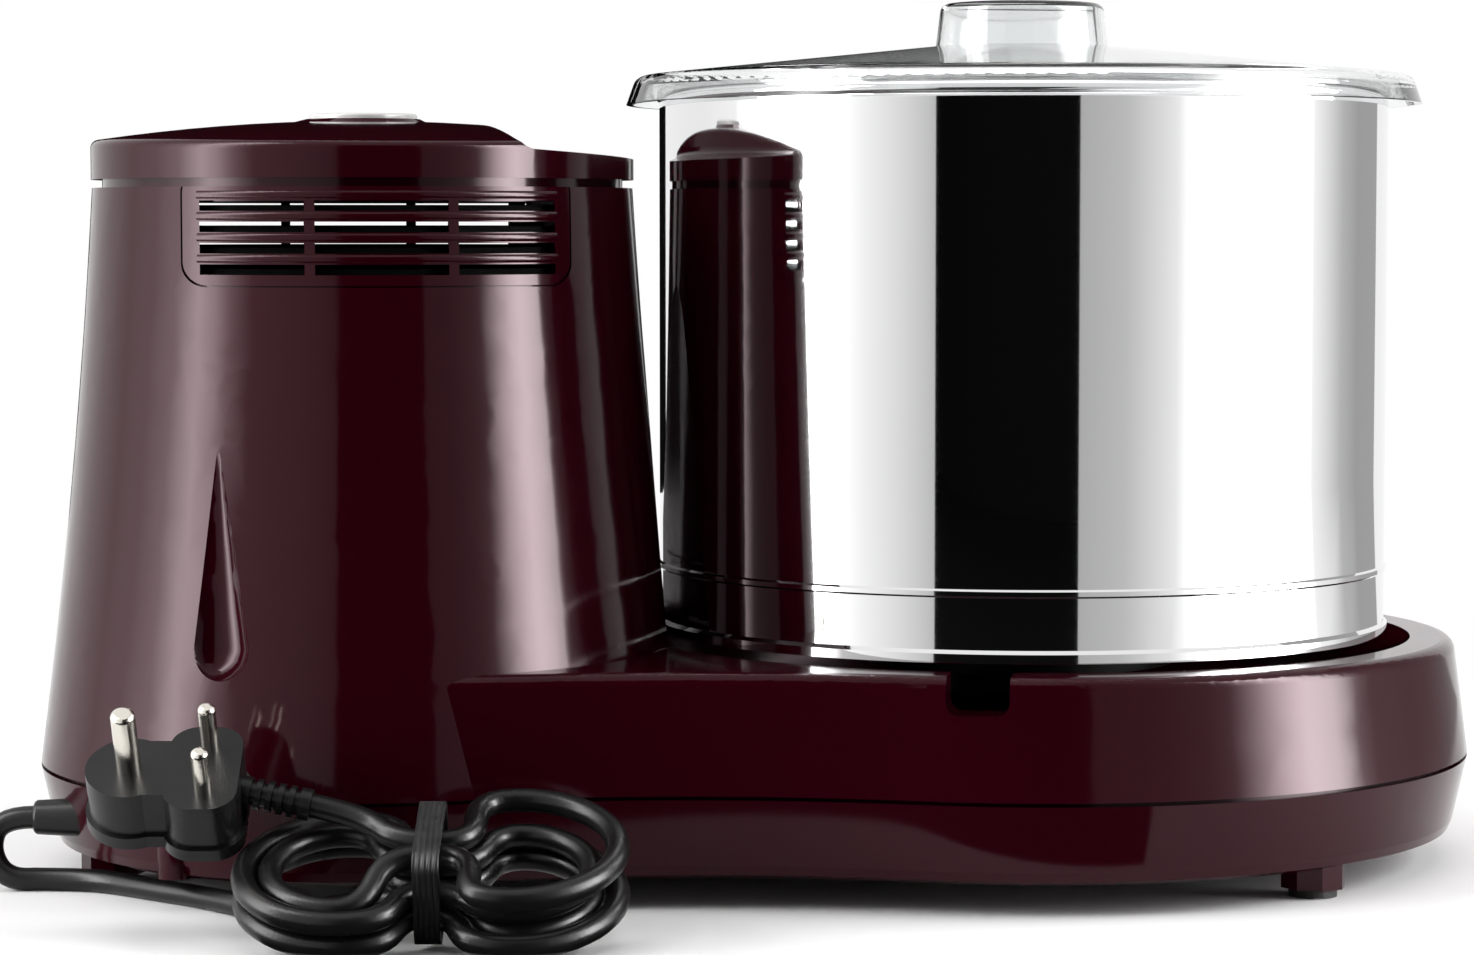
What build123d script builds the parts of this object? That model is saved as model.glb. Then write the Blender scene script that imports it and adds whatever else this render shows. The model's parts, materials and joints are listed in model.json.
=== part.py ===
from build123d import *
import os
from math import acos, asin, atan2, cos, degrees, pi, radians, sin, sqrt, tan

os.makedirs("parts", exist_ok=True)

# Frame: +Z up, +X towards the motor tower, -Y towards the user, origin under the middle of the footprint.
# All lengths are millimetres. The driving dimensions come first, then each group of pieces has its own.

# Footprint and axes
axis_spacing = 213.0
drum_end_radius = 144.5
tower_half_length = 102.5
tower_half_width = 113.0
waist_half_width = 109.5
waist_blend = 245.0
base_length = drum_end_radius + axis_spacing + tower_half_length
drum_x = drum_end_radius - base_length / 2
tower_x = drum_x + axis_spacing

# Heights of the base
foot_rubber_height = 2.7
tray_z = 9.5
seam_z = 33.6
seam_gap = 1.2
rim_z = 71.0
well_depth = 21.0
housing_z = seam_z + seam_gap
well_floor_z = rim_z - well_depth

# Walls and clearances
wall = 2.6
rest_gap = 0.3
running_gap = 0.05
overrun = 5.0

# Tower: the lowest section stands on the seam, and the walls lean in as they rise
tower_mid_z = 170.0
tower_mid_half_length = 88.0
tower_mid_half_width = 98.5
tower_top_z = 214.6
tower_top_half_length = 85.0
tower_top_half_width = 95.0
tower_sections = [
    (housing_z, tower_half_length, tower_half_width),
    (tower_mid_z, tower_mid_half_length, tower_mid_half_width),
    (tower_top_z, tower_top_half_length, tower_top_half_width),
]

# Platform and drum well
rim_inset = 4.9
rim_waist_inset = 2.5
rim_round = 4.0
well_radius = 126.0
well_hole_radius = 34.0
dam_height = 4.0
notch_width = 18.8
notch_depth = 11.4
notch_corner = 4.0
notch_angle = 72.4

# Tray
tray_inset = 4.5
tray_waist_inset = 2.9
tray_round = 4.0
tray_round_angles = (0, 45, 90)
tongue_height = 3.6
tongue_thickness = 1.6
foot_spread = 109.0
foot_drum_reach = 67.0
foot_tower_reach = 80.0
foot_drum_x = drum_x - foot_drum_reach
foot_tower_x = tower_x + foot_tower_reach
foot_tower_y = 27.0
foot_post_radius = 10.0
foot_rubber_radius = 7.35
foot_sides = 8

# Drop-shaped dents low on the tower's sides
dent_x = 48.5
dent_top_z = 143.0
dent_low_z = 79.5
dent_radius = 10.0
dent_stand = 4.5

# Grille panels, one in each long side of the tower
panel_width = 116.7
panel_foot_z = 184.8
panel_corner = 7.0
panel_gap = 0.5
panel_flange = 3.0
panel_flange_thickness = 1.5
panel_flange_top_z = 209.0
slot_count = 4
slot_pitch = 6.3
slot_height = 3.1
slot_top_z = 208.9
slot_length = 105.8
mullion_spacing = 42.4
mullion_width = 3.0
bar_radius = 1.6
bar_stand = 0.5

# Tower cap
cap_z = 217.2
cap_half_length = 85.3
cap_half_width = 95.3
cap_top_z = 235.8
cap_dome_radius = 560.0
cap_step_low_x = -43.5
cap_step_high_x = -33.5
cap_step_low_z = 226.0
cap_step_slope = 0.057
cap_step_round = 7.0
neck_z = 210.2
neck_inset = 3.2
neck_thickness = 2.0
island_radius = 18.0
island_height = 1.4
disc_radius = 17.0
disc_thickness = 1.6
disc_stand = 0.8
island_sink = 2.4
island_tail = 3.0
island_foot_length = 27.0
island_foot_width = 21.0
cap_edge_round = 2.5

# Drum
drum_radius = 117.5
drum_foot_z = 72.7
drum_top_z = 246.0
drum_skin = 1.0
drum_floor_z = 79.0
flange_height = 3.9
flange_stand = 1.1
bead_z = 92.2
bead_height = 2.6
bead_stand = 0.6
rim_roll_radius = 1.8

# Height stack of the drive under the drum
chassis_z = 17.0
chassis_sheet = 1.6
belt_z = 30.5
belt_height = 9.0
belt_thickness = 3.5
driven_pulley_radius = 72.0
motor_pulley_radius = 8.5
pulley_lip = 1.5
spindle_radius = 8.5
spindle_flange_radius = 34.0
spindle_flange_height = 4.5
spindle_boss_radius = 14.0
spindle_boss_z = 28.5
spindle_top_z = 66.0
bearing_radius = 17.5
bearing_width = 9.0
lower_bearing_z = 30.5
upper_bearing_z = 52.0
hub_wall = 6.0
turntable_z = 61.5
turntable_thickness = 6.5
turntable_radius = 50.0
dog_count = 3
dog_circle = 38.0
dog_radius = 6.0
dog_height = 7.0

# Grinding stones and the post they turn about
plate_radius = 54.0
plate_thickness = 9.7
base_stone_height = 26.0
base_stone_radius = 105.0
base_stone_hole = 26.0
bedding_height = 2.0
post_radius = 6.0
post_key_width = 8.4
post_collar_radius = 8.0
post_top_z = 212.0
column_radius = 12.0
column_wall = 2.5
column_top_z = 160.0
bush_length = 12.0
carrier_radius = 22.0
carrier_z = 112.0
carrier_cap_thickness = 9.0
cone_angle = 24.0
cone_inner = 42.0
cone_outer = 92.0
axle_radius = 5.0
roller_bush_wall = 3.0

# Lid
lid_overhang = 10.7
lid_drop = 4.3
lid_shoulder_inset = 3.2
lid_shoulder_rise = 4.6
lid_crown_rise = 14.5
lid_ring_gap = 2.0
lid_ring_drop = 8.0
lid_thickness = 2.0
lid_radius = drum_radius + lid_overhang
lid_rim_z = drum_top_z - lid_drop
lid_shoulder_radius = lid_radius - lid_shoulder_inset
lid_shoulder_z = drum_top_z + lid_shoulder_rise
lid_crown_z = drum_top_z + lid_crown_rise
lid_ring_radius = drum_radius - drum_skin - lid_ring_gap
lid_ring_z = drum_top_z - lid_ring_drop
knob_base_radius = 27.8
knob_height = 13.9
knob_round = 3.0
knob_wall = 2.0

# Motor
bracket_thickness = 5.0
bracket_radius = 58.0
bracket_leg_radius = 6.0
bracket_leg_circle = 50.0
leg_angles = (45, 135, 225, 315)
mount_height = 7.0
stator_z = 66.0
stator_height = 46.0
stator_radius = 50.0
stator_bore = 27.0
air_gap = 0.6
stator_slots = 12
slot_radius = 4.6
slot_circle = 34.0
end_turn_height = 9.0
motor_shaft_radius = 5.0
motor_shaft_top_z = 158.0
motor_bearing_radius = 13.0
motor_bearing_width = 8.0
fan_z = 142.0
fan_radius = 46.0
fan_height = 13.0
fan_blades = 8
tie_bolt_radius = 2.0
tie_bolt_circle = 46.0
tie_bolt_angles = (0, 90, 180, 270)

# Electrics
capacitor_radius = 15.0
capacitor_height = 55.0
capacitor_x = 77.0
switch_z = 118.0
switch_length = 31.0
switch_width = 22.0
switch_depth = 18.0
switch_flange = 3.5
switch_flange_thickness = 2.2
rocker_length = 23.0
rocker_width = 15.0
reset_x = 45.0
reset_y = 66.0
reset_radius = 4.5
reset_travel = 3.0

# Fastenings of the housing, the tray and the chassis
boss_radius = 5.0
boss_top_z = 48.5
boss_circle = 112.0
boss_angles = (55, 130, 230, 305)
boss_bite = 4.0
tower_boss_x = 62.0
screw_radius = 1.6
screw_bite = 10.0
screw_head_radius = 3.2
screw_head_height = 2.2
pillar_bore_radius = 3.6
chassis_post_circle = 52.0
chassis_post_angles = (60, 180, 300)
chassis_post_x = 60.0
chassis_post_y = 30.0
chassis_post_radius = 5.0
screw_seat_z = 24.0
tongue_inset = 1.2
vent_count = 9
vent_pitch = 9.0
vent_length = 60.0
vent_width = 4.0
foot_spigot_radius = 4.0
foot_spigot_height = 4.0

# Small parts of the drum and the stones
plate_chamfer = 1.5
stone_chamfer = 2.0
post_key_depth = 18.0
post_collar_height = 1.8
post_chamfer = 0.8
head_gap = 3.0
head_z = column_top_z + head_gap
column_round = 0.8
head_key_height = 16.0
carrier_gap = 1.5
carrier_round = 3.0
carrier_boss_radius = 9.0
axle_setback = 0.5
axle_end = 9.0
washer_radius = 9.0
washer_thickness = 1.6
nut_radius = 8.0
nut_height = 5.0
hex_sides = 6
spring_wire = 0.9
spring_radius = 7.0
spring_pitch = 4.0
spring_height = 12.0
spring_gap = 0.1
spring_z = head_z + carrier_cap_thickness + spring_wire + spring_gap
knob_foot_z = spring_z + spring_height + spring_wire + 2 * spring_gap
lock_radius = 13.0
lock_height = 18.0
lock_groove = 2.5
lock_grooves = 10

# Small parts of the lid
lid_flat_radius = 28.5
lid_round = 4.0
knob_taper = 6.5
knob_ribs = 2

# Chassis, bearings and pulleys
chassis_drum_radius = 62.0
chassis_tower_length = 70.0
chassis_tower_width = 86.0
chassis_waist = 90.0
chassis_vent_radius = 30.0
reset_clear_radius = 18.0
spindle_webs = 4
bearing_ring = 2.5
bearing_groove = 0.8
web_drop = 2.5
web_shift = 2.0
pulley_rim = 5.0
pulley_windows = 6
pulley_window_radius = 13.0
hub_mouth_radius = 12.0
belt_clear = 0.3

# Small parts of the motor
bracket_rim = 3.0
bracket_windows = 4
bracket_window_radius = 8.0
tie_head = 3.0
end_turn_round = 2.5
rotor_ring_height = 4.0
rotor_ring_width = 5.2
fan_sheet = 1.3
fan_blade_place_share = 0.68
fan_blade_length_share = 0.5
tie_places = [
    (tower_x + tie_bolt_circle * cos(radians(angle)), tie_bolt_circle * sin(radians(angle)))
    for angle in tie_bolt_angles
]
leg_places = [
    (tower_x + bracket_leg_circle * cos(radians(angle)), bracket_leg_circle * sin(radians(angle)))
    for angle in leg_angles
]

# Small parts of the electrics
strap_z = 30.0
strap_height = 10.0
strap_sheet = 1.2
strap_foot = 12.0
tag_width = 5.2
tag_thickness = 1.3
tag_height = 5.2
protector_side = 20.0
protector_height = 16.0
reset_flange_radius = 6.5
reset_round = 1.0
block_y = 70.0
block_length = 32.0
block_width = 13.0
block_height = 12.0
block_screw_radius = 2.4
block_ways = 3
small_round = 1.3
switch_sink = 4.0
switch_round = 0.7
rocker_gap = 0.8
rocker_pin_radius = 1.5
rocker_pin_half = 9.6
rocker_below = 5.0
rocker_above = 4.6
rocker_dip = 1.6
screw_slot_length = 3.6
screw_slot_width = 0.9

# Cord
cord_diameter = 7.0
cord_radius = cord_diameter / 2
gland_y = 40.0
gland_z = 22.0
gland_radius = 6.0
gland_neck_radius = 4.6
gland_turn = 8.6
gland_wall_inset = 8.5
gland_wall_x = tower_x + tower_half_length - gland_wall_inset
gland_inside = 12.0
gland_outside = 10.0
gland_taper = 3.0
gland_round = 1.2
clamp_run = 14.0
clamp_length = 8.0
clamp_width = 16.0
bend_share = 0.45

# Places along the supply cord, read from the photo and given from the foot of the tower's axis
tower_foot = Vector(tower_x, 0, 0)
inner_route = [(58.5, 48, 24.5), (32.5, 50, 24.5), (8.5, 51, 24.5), (8.5, 63.5, 24.5)]
lead_first_run = 10.3
lead_route = [
    (117.9, 39.2, 12.8),
    (112.8, 42.0, 3.5),
    (99.5, 42.5, 3.5),
    (83.5, 48.0, 3.5),
    (70.0, 64.0, 3.5),
    (55.5, 80.0, 3.5),
    (44.5, 96.0, 3.5),
]

# Hank: the middle of its waist, its tilt, its half widths and where each loop's shoulder lies
cord_pitch = 7.5
hank_middle = tower_foot + Vector(-9.0, 152.0, 24.0)
hank_across_direction = (-0.1405, -0.929, 0.342)
hank_outer = 29.0
hank_inner = hank_outer - cord_pitch
hank_shoulder = 24.0
gap_spacing = 1.0
gap_skip = 25.0
tie_gap = 2.3
tie_sheet = 1.5
tie_width = 7.5

# Plug: pin sizes of a three-pin 6 A plug, its pose read from the photo
plug_origin = tower_foot + Vector(75.0, 128.0, 48.9)
pin_direction = Vector(0.0836, 0.553, 0.829)
pin_triangle = 22.2
pin_spacing = 19.05
earth_pin_radius = 3.53
earth_pin_length = 20.6
pin_radius = 2.54
pin_length = 14.9
pin_dome_share = 0.6
facing_share = 0.9
plug_thickness = 19.0
earth_lobe_radius = 12.5
lobe_length = 18.0
lobe_step = 2.0
lobe_shift = -1.0
wide_lobe_length = 21.0
wide_lobe_width = 35.0
wide_lobe_round = 8.0
plug_lip = 1.2
plug_lip_height = 4.0
relief_root = tower_foot + Vector(44.0, 127.2, 41.6)
relief_end = tower_foot + Vector(23.5, 131.0, 37.4)
relief_radius = 4.6
relief_bury = 6.0
relief_ribs = 5
relief_rib_pitch = 3.2
relief_groove = 1.1
gland_plane = Plane(
    origin=(gland_wall_x, gland_y, gland_z),
    x_dir=(sin(radians(gland_turn)), cos(radians(gland_turn)), 0),
    z_dir=(cos(radians(gland_turn)), -sin(radians(gland_turn)), 0),
)


def write(piece, name):
    """Labels a finished piece and writes it under its own name."""
    piece.part.label = name
    export_step(piece.part, f"parts/{name}.step")


def shifted(inset):
    """The tower's sections, drawn in by an inset and run past both ends."""
    low, middle, top = tower_sections
    return [
        (low[0], low[1] - inset, low[2] - inset),
        (middle[0], middle[1] - inset, middle[2] - inset),
        (top[0], top[1] - inset, top[2] - inset),
    ]


def tower_solid(inset):
    """A leaning tower solid through its three elliptical sections."""
    with BuildPart() as tower:
        for height, half_length, half_width in shifted(inset):
            with BuildSketch(Plane.XY.offset(height)):
                with Locations((tower_x, 0)):
                    Ellipse(half_length, half_width)
        loft()
    return tower.part


def tower_size(height):
    """Half length and half width of the tower at a height, read along its straight leans."""
    low, middle, top = tower_sections
    lower, upper = (low, middle) if height < middle[0] else (middle, top)
    share = (height - lower[0]) / (upper[0] - lower[0])
    return (
        lower[1] + share * (upper[1] - lower[1]),
        lower[2] + share * (upper[2] - lower[2]),
    )


def wall_y(offset_x, height):
    """How far the tower's wall stands out at a place along the tower and a height."""
    half_length, half_width = tower_size(height)
    return half_width * sqrt(1 - (offset_x / half_length) ** 2)


def base_plan(height, drum_inset, waist_inset):
    """The footprint's drum end and waist; the waist runs on to the tower's axis."""
    middle_x = drum_x + axis_spacing / 2
    with BuildSketch(Plane.XY.offset(height)) as plan:
        with Locations((drum_x, 0)):
            Circle(drum_end_radius - drum_inset)
        with Locations((middle_x, 0)):
            Rectangle(axis_spacing, 2 * (waist_half_width - waist_inset))
        sides = plan.vertices().filter_by(lambda corner: abs(corner.Y) > waist_half_width / 2)
        fillet(sides.filter_by(lambda corner: corner.X < middle_x), waist_blend)
    return plan.sketch


def base_block(low_z, low_insets, top_z, top_insets):
    """A solid between two footprints, one above the other."""
    with BuildPart() as block:
        add(base_plan(low_z, *low_insets))
        add(base_plan(top_z, *top_insets))
        loft(ruled=True)
    return block.part


def base_slab(low_z, low_insets, top_z, top_insets):
    """The same, with the tower's oval end on it: the whole footprint of the tray."""
    with BuildPart() as slab:
        for height, insets in ((low_z, low_insets), (top_z, top_insets)):
            with BuildSketch(Plane.XY.offset(height)):
                with Locations((tower_x, 0)):
                    Ellipse(tower_half_length - insets[0], tower_half_width - insets[0])
        loft(ruled=True)
        add(base_block(low_z, low_insets, top_z, top_insets))
    return slab.part


def dent(side, grow):
    """The drop that presses a dent into the tower's wall, grown by a wall for the skin behind it."""
    top_y = wall_y(dent_x, dent_top_z)
    low_y = wall_y(dent_x, dent_low_z)
    lean = atan2(dent_x / tower_half_length**2, low_y / tower_half_width**2)
    top = Vector(tower_x + dent_x, side * top_y, dent_top_z)
    low = Vector(
        tower_x + dent_x + dent_stand * sin(lean),
        side * (low_y + dent_stand * cos(lean)),
        dent_low_z,
    )
    along = (low - top).normalized()
    apex = top - along * (grow * (low - top).length / dent_radius)
    length = (low - apex).length
    radius = dent_radius + grow
    spread = asin(radius / length)
    touch = (length - radius * sin(spread), radius * cos(spread))
    across = Vector(cos(lean), -side * sin(lean), 0)
    with BuildPart() as drop:
        with BuildSketch(Plane(origin=apex, x_dir=along, z_dir=across)):
            with BuildLine():
                Line((0, 0), touch)
                TangentArc(touch, (length + radius, 0), tangent=(cos(spread), sin(spread)))
                Line((length + radius, 0), (0, 0))
            make_face()
        revolve(axis=Axis(apex, along))
    return drop.part


def notch(grow):
    """The channel through the rim, grown by a wall for the skin around it."""
    outward = (cos(radians(notch_angle)), sin(radians(notch_angle)), 0)
    sideways = (-outward[1], outward[0], 0)
    face = Plane(origin=(drum_x, 0, rim_z), x_dir=sideways, z_dir=outward)
    with BuildPart() as channel:
        with BuildSketch(face.offset(well_radius - overrun)) as section:
            with Locations((0, (overrun - notch_depth - grow) / 2)):
                Rectangle(notch_width + 2 * grow, notch_depth + grow + overrun)
            fillet(section.vertices().group_by(Axis.Z)[0], notch_corner + grow)
        extrude(amount=drum_end_radius - well_radius + 2 * overrun)
    return channel.part


def tube(low_z, high_z, outer, inner, place):
    """A plain ring or sleeve between two heights."""
    with BuildPart() as ring:
        with BuildSketch(Plane.XY.offset(low_z)):
            with Locations(place):
                Circle(outer)
                Circle(inner, mode=Mode.SUBTRACT)
        extrude(amount=high_z - low_z)
    return ring.part


def post_solid(low_z, high_z, radius, place):
    """A plain round post between two heights."""
    with BuildPart() as post:
        with BuildSketch(Plane.XY.offset(low_z)):
            with Locations(place):
                Circle(radius)
        extrude(amount=high_z - low_z)
    return post.part


drum_place = (drum_x, 0)
tower_place = (tower_x, 0)
feet = [
    (foot_drum_x, foot_spread),
    (foot_drum_x, -foot_spread),
    (foot_tower_x, foot_tower_y),
    (foot_tower_x, -foot_tower_y),
]

# Upper housing: a low platform and the tower in one moulding, open below
outer_insets = (0, 0)
rim_insets = (rim_inset, rim_waist_inset)
inner_insets = (wall, wall)
inner_rim_insets = (rim_inset + wall, rim_waist_inset + wall)
platform_outer = base_block(housing_z, outer_insets, rim_z, rim_insets)
platform_inner = base_block(housing_z, inner_insets, rim_z - wall, inner_rim_insets)
tower_outer = tower_solid(0)
tower_inner = tower_solid(wall)
dents = [dent(side, 0) for side in (1, -1)]
dent_skins = [dent(side, wall) for side in (1, -1)]
well_solid = post_solid(well_floor_z, tower_top_z + overrun, well_radius, drum_place)
well_skin = post_solid(well_floor_z - wall, tower_top_z + overrun, well_radius + wall, drum_place)

housing_bosses = [
    (drum_x + boss_circle * cos(radians(angle)), boss_circle * sin(radians(angle))) for angle in boss_angles
]
for side in (1, -1):
    tower_boss_y = wall_y(tower_boss_x, (housing_z + boss_top_z) / 2) - wall - boss_bite
    housing_bosses.append((tower_x + tower_boss_x, side * tower_boss_y))
switch_lean = atan2(tower_half_width - tower_mid_half_width, tower_mid_z - housing_z)
switch_face = Plane(
    origin=(tower_x, -wall_y(0, switch_z), switch_z),
    x_dir=(1, 0, 0),
    z_dir=(0, -cos(switch_lean), sin(switch_lean)),
)
window_top_z = tower_top_z + overrun


def window(trim, foot_trim):
    """The prism of a grille panel through both long sides of the tower, open at the tower's top."""
    with BuildPart() as opening:
        with BuildSketch(Plane.XZ.offset(-tower_half_width - overrun)) as outline:
            with Locations((tower_x, (panel_foot_z + window_top_z + foot_trim) / 2)):
                Rectangle(panel_width - 2 * trim, window_top_z - panel_foot_z - foot_trim)
            fillet(outline.vertices().group_by(Axis.Z)[0], panel_corner)
        extrude(amount=2 * (tower_half_width + overrun))
    return opening.part


windows = window(0, 0)
with BuildPart() as cavity:
    add(platform_inner)
    add(tower_inner)
    add(well_skin, mode=Mode.SUBTRACT)
    add(notch(wall), mode=Mode.SUBTRACT)
    for skin in dent_skins:
        add(skin, mode=Mode.SUBTRACT)
with BuildPart() as upper_housing:
    add(platform_outer)
    rim_edges = upper_housing.faces().sort_by(Axis.Z)[-1].edges()
    fillet(rim_edges.filter_by(lambda edge: edge.center().X < tower_x - overrun), rim_round)
    add(tower_outer)
    add(well_solid, mode=Mode.SUBTRACT)
    add(notch(0), mode=Mode.SUBTRACT)
    for hollow in dents:
        add(hollow, mode=Mode.SUBTRACT)
    add(cavity.part, mode=Mode.SUBTRACT)
    add(windows, mode=Mode.SUBTRACT)
    # A dam round the hub keeps spilled batter in the well
    with BuildSketch(Plane.XY.offset(well_floor_z - wall)):
        with Locations(drum_place):
            Circle(well_hole_radius + wall)
    extrude(amount=dam_height + wall)
    with BuildSketch(Plane.XY.offset(well_floor_z - wall)):
        with Locations(drum_place):
            Circle(well_hole_radius)
    extrude(amount=dam_height + wall, mode=Mode.SUBTRACT)
    # Screw bosses under the well's floor and along the tower's wall
    with BuildSketch(Plane.XY.offset(housing_z)):
        with Locations(housing_bosses):
            Circle(boss_radius)
    extrude(amount=boss_top_z - housing_z)
    with BuildSketch(Plane.XY.offset(housing_z)):
        with Locations(housing_bosses):
            Circle(screw_radius)
    extrude(amount=screw_bite, mode=Mode.SUBTRACT)
    # Opening for the switch in the front wall
    with BuildSketch(switch_face.offset(-switch_depth)):
        Rectangle(switch_width + 2 * rest_gap, switch_length + 2 * rest_gap)
    extrude(amount=switch_depth + overrun, mode=Mode.SUBTRACT)
write(upper_housing, "upper_housing")


# Bottom tray: the shallow tub that closes the housing from below, with its four moulded foot posts
tray_stages = []
for angle in tray_round_angles:
    inward = tray_round * (1 - sin(radians(angle)))
    upward = tray_round * (1 - cos(radians(angle)))
    tray_stages.append((tray_z + upward, (tray_inset + inward, tray_waist_inset + inward)))
tray_stages.append((seam_z, outer_insets))
tray_inner = base_slab(tray_z + wall, (tray_inset + wall, tray_waist_inset + wall), seam_z, inner_insets)
chassis_posts = [
    (drum_x + chassis_post_circle * cos(radians(angle)), chassis_post_circle * sin(radians(angle)))
    for angle in chassis_post_angles
]
for post_x in (-chassis_post_x, chassis_post_x):
    for post_y in (-chassis_post_y, chassis_post_y):
        chassis_posts.append((tower_x + post_x, post_y))
tongue_outer = (wall + tongue_inset, wall + tongue_inset)
tongue_inner = (tongue_outer[0] + tongue_thickness, tongue_outer[1] + tongue_thickness)
tongue_root = (wall / 2, wall / 2)
tongue_foot_z = seam_z - tongue_thickness
tongue_top_z = seam_z + tongue_height
tongue_bore = base_slab(tongue_foot_z, tongue_inner, tongue_top_z, tongue_inner)
with BuildPart() as tongue:
    add(base_slab(tongue_foot_z, tongue_root, seam_z, tongue_root))
    add(base_slab(seam_z, tongue_outer, tongue_top_z, tongue_outer))
    add(tongue_bore, mode=Mode.SUBTRACT)
with BuildPart() as bottom_tray:
    for (low_z, low_insets), (top_z, top_insets) in zip(tray_stages, tray_stages[1:]):
        add(base_slab(low_z, low_insets, top_z, top_insets))
    add(tray_inner, mode=Mode.SUBTRACT)
    # Tongue that stands up inside the housing's wall and closes the seam
    add(tongue.part)
    with BuildSketch(Plane.XY.offset(housing_z)):
        with Locations(housing_bosses):
            Circle(boss_radius + rest_gap)
    extrude(amount=tongue_height, mode=Mode.SUBTRACT)
    # Foot posts, screw pillars and the low posts that carry the chassis plate
    with BuildSketch(Plane.XY.offset(foot_rubber_height)):
        with Locations(feet):
            RegularPolygon(foot_post_radius, foot_sides)
    extrude(amount=tray_z + wall - foot_rubber_height)
    with BuildSketch(Plane.XY.offset(tray_z)):
        with Locations(housing_bosses):
            Circle(boss_radius)
    extrude(amount=housing_z - tray_z)
    with BuildSketch(Plane.XY.offset(tray_z)):
        with Locations(housing_bosses):
            Circle(pillar_bore_radius)
    extrude(amount=screw_seat_z - tray_z, mode=Mode.SUBTRACT)
    with BuildSketch(Plane.XY.offset(screw_seat_z)):
        with Locations(housing_bosses):
            Circle(screw_radius + rest_gap)
    extrude(amount=housing_z - screw_seat_z, mode=Mode.SUBTRACT)
    with BuildSketch(Plane.XY.offset(tray_z)):
        with Locations(chassis_posts):
            Circle(chassis_post_radius)
    extrude(amount=chassis_z - tray_z)
    with BuildSketch(Plane.XY.offset(tray_z + wall)):
        with Locations(chassis_posts):
            Circle(screw_radius)
    extrude(amount=chassis_z - tray_z - wall, mode=Mode.SUBTRACT)
    # Cooling slots under the motor, the hole of the reset button and the sockets of the rubber feet
    with BuildSketch(Plane.XY.offset(tray_z)):
        with Locations(tower_place):
            with GridLocations(vent_pitch, 0, vent_count, 1):
                SlotOverall(vent_length, vent_width, rotation=90)
        with Locations((reset_x + tower_x, reset_y)):
            Circle(reset_radius + rest_gap)
    extrude(amount=wall, mode=Mode.SUBTRACT)
    with BuildSketch(Plane.XY.offset(foot_rubber_height)):
        with Locations(feet):
            Circle(foot_spigot_radius + running_gap)
    extrude(amount=foot_spigot_height, mode=Mode.SUBTRACT)
    # Hole for the strain relief in the tower's end wall
    with BuildSketch(gland_plane.offset(-gland_inside)):
        Circle(gland_neck_radius + running_gap)
    extrude(amount=gland_inside + gland_outside, mode=Mode.SUBTRACT)
write(bottom_tray, "bottom_tray")

with BuildPart() as rubber_feet:
    with BuildSketch():
        with Locations(feet):
            Circle(foot_rubber_radius)
    extrude(amount=foot_rubber_height)
    with BuildSketch(Plane.XY.offset(foot_rubber_height)):
        with Locations(feet):
            Circle(foot_spigot_radius)
    extrude(amount=foot_spigot_height - rest_gap)
write(rubber_feet, "rubber_feet")


def cap_form(inset, drop, low_z):
    """The cap's outside, or with an inset and a drop its hollow."""
    with BuildPart() as form:
        with BuildSketch(Plane.XY.offset(low_z)):
            with Locations(tower_place):
                Ellipse(cap_half_length - inset, cap_half_width - inset)
        extrude(amount=cap_top_z - drop + overrun - low_z)
        with Locations((tower_x, 0, cap_top_z - drop - cap_dome_radius)):
            Sphere(cap_dome_radius, mode=Mode.INTERSECT)
        with BuildSketch(Plane.XZ.offset(-cap_half_width - overrun)):
            with BuildLine():
                step = FilletPolyline(
                    (tower_x - cap_half_length - overrun, cap_far_z - drop),
                    (tower_x + cap_step_low_x + inset, cap_step_low_z - drop),
                    (tower_x + cap_step_high_x + inset, cap_top_z + overrun),
                    radius=cap_step_round,
                )
                Polyline(
                    step @ 1,
                    (tower_x - cap_half_length - overrun, cap_top_z + overrun),
                    step @ 0,
                )
            make_face()
        extrude(amount=2 * (cap_half_width + overrun), mode=Mode.SUBTRACT)
    return form.part


# Tower cap: a domed lid with a step across it, its neck inside the tower's mouth
cap_far_z = cap_step_low_z - cap_step_slope * (cap_half_length + overrun + cap_step_low_x)
cap_hollow = cap_form(wall, wall, cap_z)
with BuildPart() as tower_cap:
    add(cap_form(0, 0, cap_z))
    fillet(tower_cap.faces().filter_by(GeomType.SPHERE).edges(), cap_edge_round)
    # The island in the middle of the dome
    with BuildSketch(Plane.XY.offset(cap_top_z - island_sink)):
        with Locations((tower_x + island_tail, 0)):
            Ellipse(island_foot_length, island_foot_width)
    with BuildSketch(Plane.XY.offset(cap_top_z + island_height - disc_thickness / 2)):
        with Locations(tower_place):
            Circle(island_radius)
    loft()
    add(cap_hollow, mode=Mode.SUBTRACT)
    with BuildSketch(Plane.XY.offset(cap_top_z + island_height - disc_thickness)):
        with Locations(tower_place):
            Circle(disc_radius + running_gap)
    extrude(amount=disc_thickness, mode=Mode.SUBTRACT)
    # The neck drops into the tower's mouth
    with BuildSketch(Plane.XY.offset(neck_z)):
        with Locations(tower_place):
            Ellipse(tower_top_half_length - neck_inset, tower_top_half_width - neck_inset)
            neck_bore = neck_inset + neck_thickness
            Ellipse(tower_top_half_length - neck_bore, tower_top_half_width - neck_bore, mode=Mode.SUBTRACT)
    extrude(amount=cap_z + wall - neck_z)
    with BuildSketch(Plane.XY.offset(cap_z)):
        with Locations(tower_place):
            Ellipse(cap_half_length - wall / 2, cap_half_width - wall / 2)
            Ellipse(tower_top_half_length - neck_bore, tower_top_half_width - neck_bore, mode=Mode.SUBTRACT)
    extrude(amount=wall)
write(tower_cap, "tower_cap")
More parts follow.
